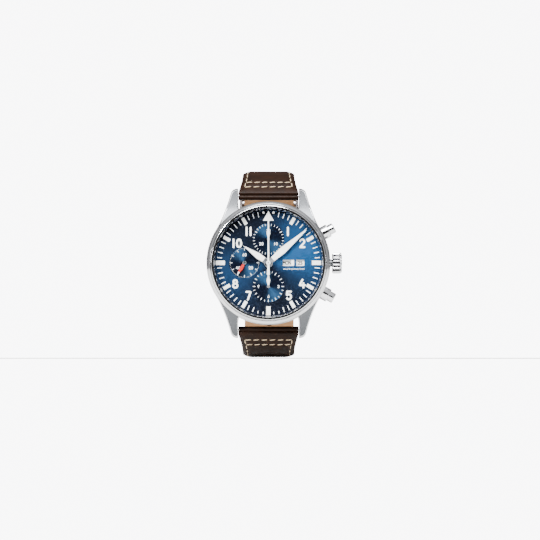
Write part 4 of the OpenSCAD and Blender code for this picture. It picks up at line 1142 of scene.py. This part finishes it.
def band(s, wide, play):
    """A leather band round the strap: a rounded-rectangle path with a rounded flat section."""
    k, corner = 0.5, 1.1             # half the band's thickness, and the path's corner radius
    t = float(half_thick(np.array(float(s)), "upper"))
    low, high = -t - play - k, t + THICK_END + 0.4 + k
    half_x, rise = 9.6 + k, (high - low) / 2
    quarter = [half_x - corner, rise - corner] + corner * compass(np.linspace(0, 90, 8))
    path = np.concatenate([quarter, (quarter * [-1, 1])[::-1], quarter * [-1, -1],
                           (quarter * [1, -1])[::-1]])
    ahead = np.roll(path, -1, 0) - np.roll(path, 1, 0)
    out = np.stack([ahead[:, 1], -ahead[:, 0]], -1)
    out /= np.linalg.norm(out, axis=1)[:, None]
    path = path + [0, (low + high) / 2]
    w = wide / 2
    section = [(-w + 0.25, k), (-w * 0.5, k), (0, k), (w * 0.5, k), (w - 0.25, k),
               (w - 0.07, k - 0.1), (w, k - 0.3), (w, -k + 0.3), (w - 0.07, -k + 0.1),
               (w - 0.25, -k), (0, -k), (-w + 0.25, -k), (-w + 0.07, -k + 0.1), (-w, -k + 0.3),
               (-w, k - 0.3), (-w + 0.07, k - 0.1)]
    rows = [np.stack([path[:, 0] + out[:, 0] * n, 0 * path[:, 0] + d, path[:, 1] + out[:, 1] * n],
                     -1) for d, n in section]
    return on_strap(np.stack(rows), s, "upper"), [0] * 4 + [1] * 5 + [2] * 2 + [1] * 5


# Name, place along the strap, width and play in millimetres, and body
for name, s, wide, play, body in (("fixed_keeper", 64, 5, 0.1, "upper_strap"),
                                  ("free_keeper", 57, 6, 0.25, "loose_keeper")):
    grid, kinds = band(s, wide, play)
    solid(name + "_leather", [grid], [calf, edge_paint, lining], body, [name],
          sharp=40, faces=[kinds])


def sweep(path, sides, ups, wide, deep, power=2.6, count=24):
    """A closed bar along a path, at the pin: a superellipse wide by deep on sides and ups."""
    a = np.linspace(0, TURN, count, endpoint=False)
    c, s = np.cos(a), np.sin(a)
    x = np.sign(c) * np.abs(c) ** (2 / power) * 0.5
    y = np.sign(s) * np.abs(s) ** (2 / power) * 0.5
    grid = (path[:, None] + sides[:, None] * (wide[:, None] * x)[..., None]
            + ups[:, None] * (deep[:, None] * y)[..., None])
    return on_strap(grid.transpose(1, 0, 2), PIN_AT, "upper")


def sleeve(middle, half, inner, outer):
    """A ring round the buckle's pin: its ends are inner in radius, and it is outer between."""
    return on_strap(across_x(lathe([
        (PIN_R, middle - half), (inner, middle - half), (outer, middle - half + 0.1),
        (outer, middle + half - 0.1), (inner, middle + half), (PIN_R, middle + half)], 48)),
        PIN_AT, "upper")


arm_x = 10.35                        # half the distance between the buckle's arms
arm = np.concatenate([[[arm_x, y] for y in (-0.9, -0.85, 0.4, 2, 5, 7.5)],
                      [arm_x - 2.2, 9.3] + 2.2 * compass(np.linspace(0, 90, 10)),
                      [[x, 11.5] for x in (6, 4, 2, 0)]])
outline = np.concatenate([arm, (arm * [-1, 1])[:-1][::-1]])
path = np.concatenate([outline, 0.2 * np.clip((outline[:, 1:] - 8) / 3.5, 0, 1)], 1)
up = np.tile([0.0, 0, 1], (len(path), 1))
bar_part = np.clip((outline[:, 1] - 8.5) / 2.5, 0, 1)
width, depth = 1.6 + 0.5 * bar_part, 1.7 + 0.4 * bar_part
width[[0, -1]], depth[[0, -1]] = 0, 0
width[[1, -2]], depth[[1, -2]] = 1.3, 1.5
buckle_steel = polished_steel("polished_buckle_steel", "#d3d4d6", 0.08)
solid("buckle_bow", [sweep(path, np.cross(headings(path), up), up, width, depth)],
      [buckle_steel], "buckle", ["buckle_frame"], sharp=50, open_from=0)
solid("buckle_hubs", [sleeve(x, 0.8, 1.2, 1.28) for x in (-arm_x, arm_x)], [buckle_steel], "buckle",
      sharp=40)
d = np.array([0.9, 0.95, 1.6, 3, 5, 7, 9, 10.3, 11.5, 12.6, 13.1, 13.35, 13.4])
n = np.interp(d, [0.9, 3, 10.3, 11.5, 13.1, 13.4], [0.85, 1.1, 1.78, 1.78, 1.68, 1.6])
path = np.stack([0 * d, d, n], -1)
side = np.tile([1.0, 0, 0], (len(d), 1))
width = np.interp(d, [0.9, 0.95, 9, 12.6, 13.1, 13.35, 13.4], [0, 1.8, 1.75, 1.6, 1.35, 0.7, 0])
depth = np.interp(d, [0.9, 0.95, 3, 12.6, 13.1, 13.35, 13.4], [0, 0.8, 0.82, 0.78, 0.7, 0.4, 0])
solid("tongue_blade", [sweep(path, side, np.cross(side, headings(path)), width, depth, 3.0, 20)],
      [buckle_steel], "tongue", ["buckle_tongue"], sharp=50, open_from=0)
solid("tongue_eye", [sleeve(0, 0.95, 1.15, 1.24)], [buckle_steel], "tongue",
      sharp=40)
slot_box = prism([(-1.2, -5), (1.2, -5), (1.2, 5), (-1.2, 5)], -4, 4)
for cutter in (slot_box, across_x(rod(PIN_R, 11.5))):
    cut_with(skins["upper"], [on_strap(cutter, PIN_AT, "upper")])


# ---- Movement and the parts inside ----
# Plates and bridges are brass, rhodium-plated and grained; wheels are gilt, arbors and levers
# are polished steel, screws are blued by heat, and the shield is soft iron.

def turned_metal(name, code, dark, rough, pitch):
    """Metal turned in a lathe: fine rings about the watch's centre, pitch millimetres apart."""
    material, tree, shader = new_material(name, Metallic=1.0)
    angle, radius = polar_nodes(tree)
    line = node(tree, "CombineXYZ", feeds={0: radius}).outputs[0]
    rings = node(tree, "TexNoise", {"Scale": 1000 / pitch, "Detail": 2.0},
                 {"Vector": line}).outputs["Fac"]
    worn(tree, shader, rings, (code, dark), (rough * 0.8, rough * 1.25), (0.3, 2e-5))
    return material


nylon = mottled("black_nylon", "#030303", "#060607", 3000, 2, (4000, 0.15, 2e-5),
                Roughness=0.6, Specular_IOR_Level=0.08)
INSIDE = {"black_nylon": nylon, "polished_steel": steel_mirror, "satin_steel": steel_satin,
          "gilt_brass": turned_metal("gilt_brass", "#dcb866", "#c39a45", 0.24, 0.12)}
# Each slot's material, its two shades, its roughness, and its grain's scale and stretch
for slot, name, shades, rough, *grit in (
        ("soft_iron", "annealed_soft_iron", ("#8b8c8f", "#6f7073"), 0.45, 2500),
        ("movement_steel", "hardened_movement_steel", ("#c4c6cb", "#aeb0b6"), 0.18, 4000),
        ("spring_steel", "blued_grey_spring_steel", ("#8c96a6", "#737c8b"), 0.22, 4000),
        ("rhodium_plate", "rhodium_plated_brass", ("#d2d3d1", "#b9bab8"), 0.3, 9000,
         (1, 0.03, 0.03)),
        ("blued_steel", "heat_blued_steel", ("#1f3f8c", "#15295e"), 0.16, 3000),
        ("balance_alloy", "gilt_glucydur", ("#dcb672", "#c59b52"), 0.2, 4000)):
    INSIDE[slot] = grained_metal(name, shades, (rough * 0.8, rough * 1.3), *grit)
back_steel = turned_metal("satin_turned_316L_steel", "#c6c7ca", "#adafb3", 0.3, 0.1)
for part in frame["record"]["subparts"]:
    name, slot = part["node"], part["material_slot"]
    if slot in INSIDE and name != "dial":
        dress(name, back_steel if name == "case_back" else INSIDE[slot])
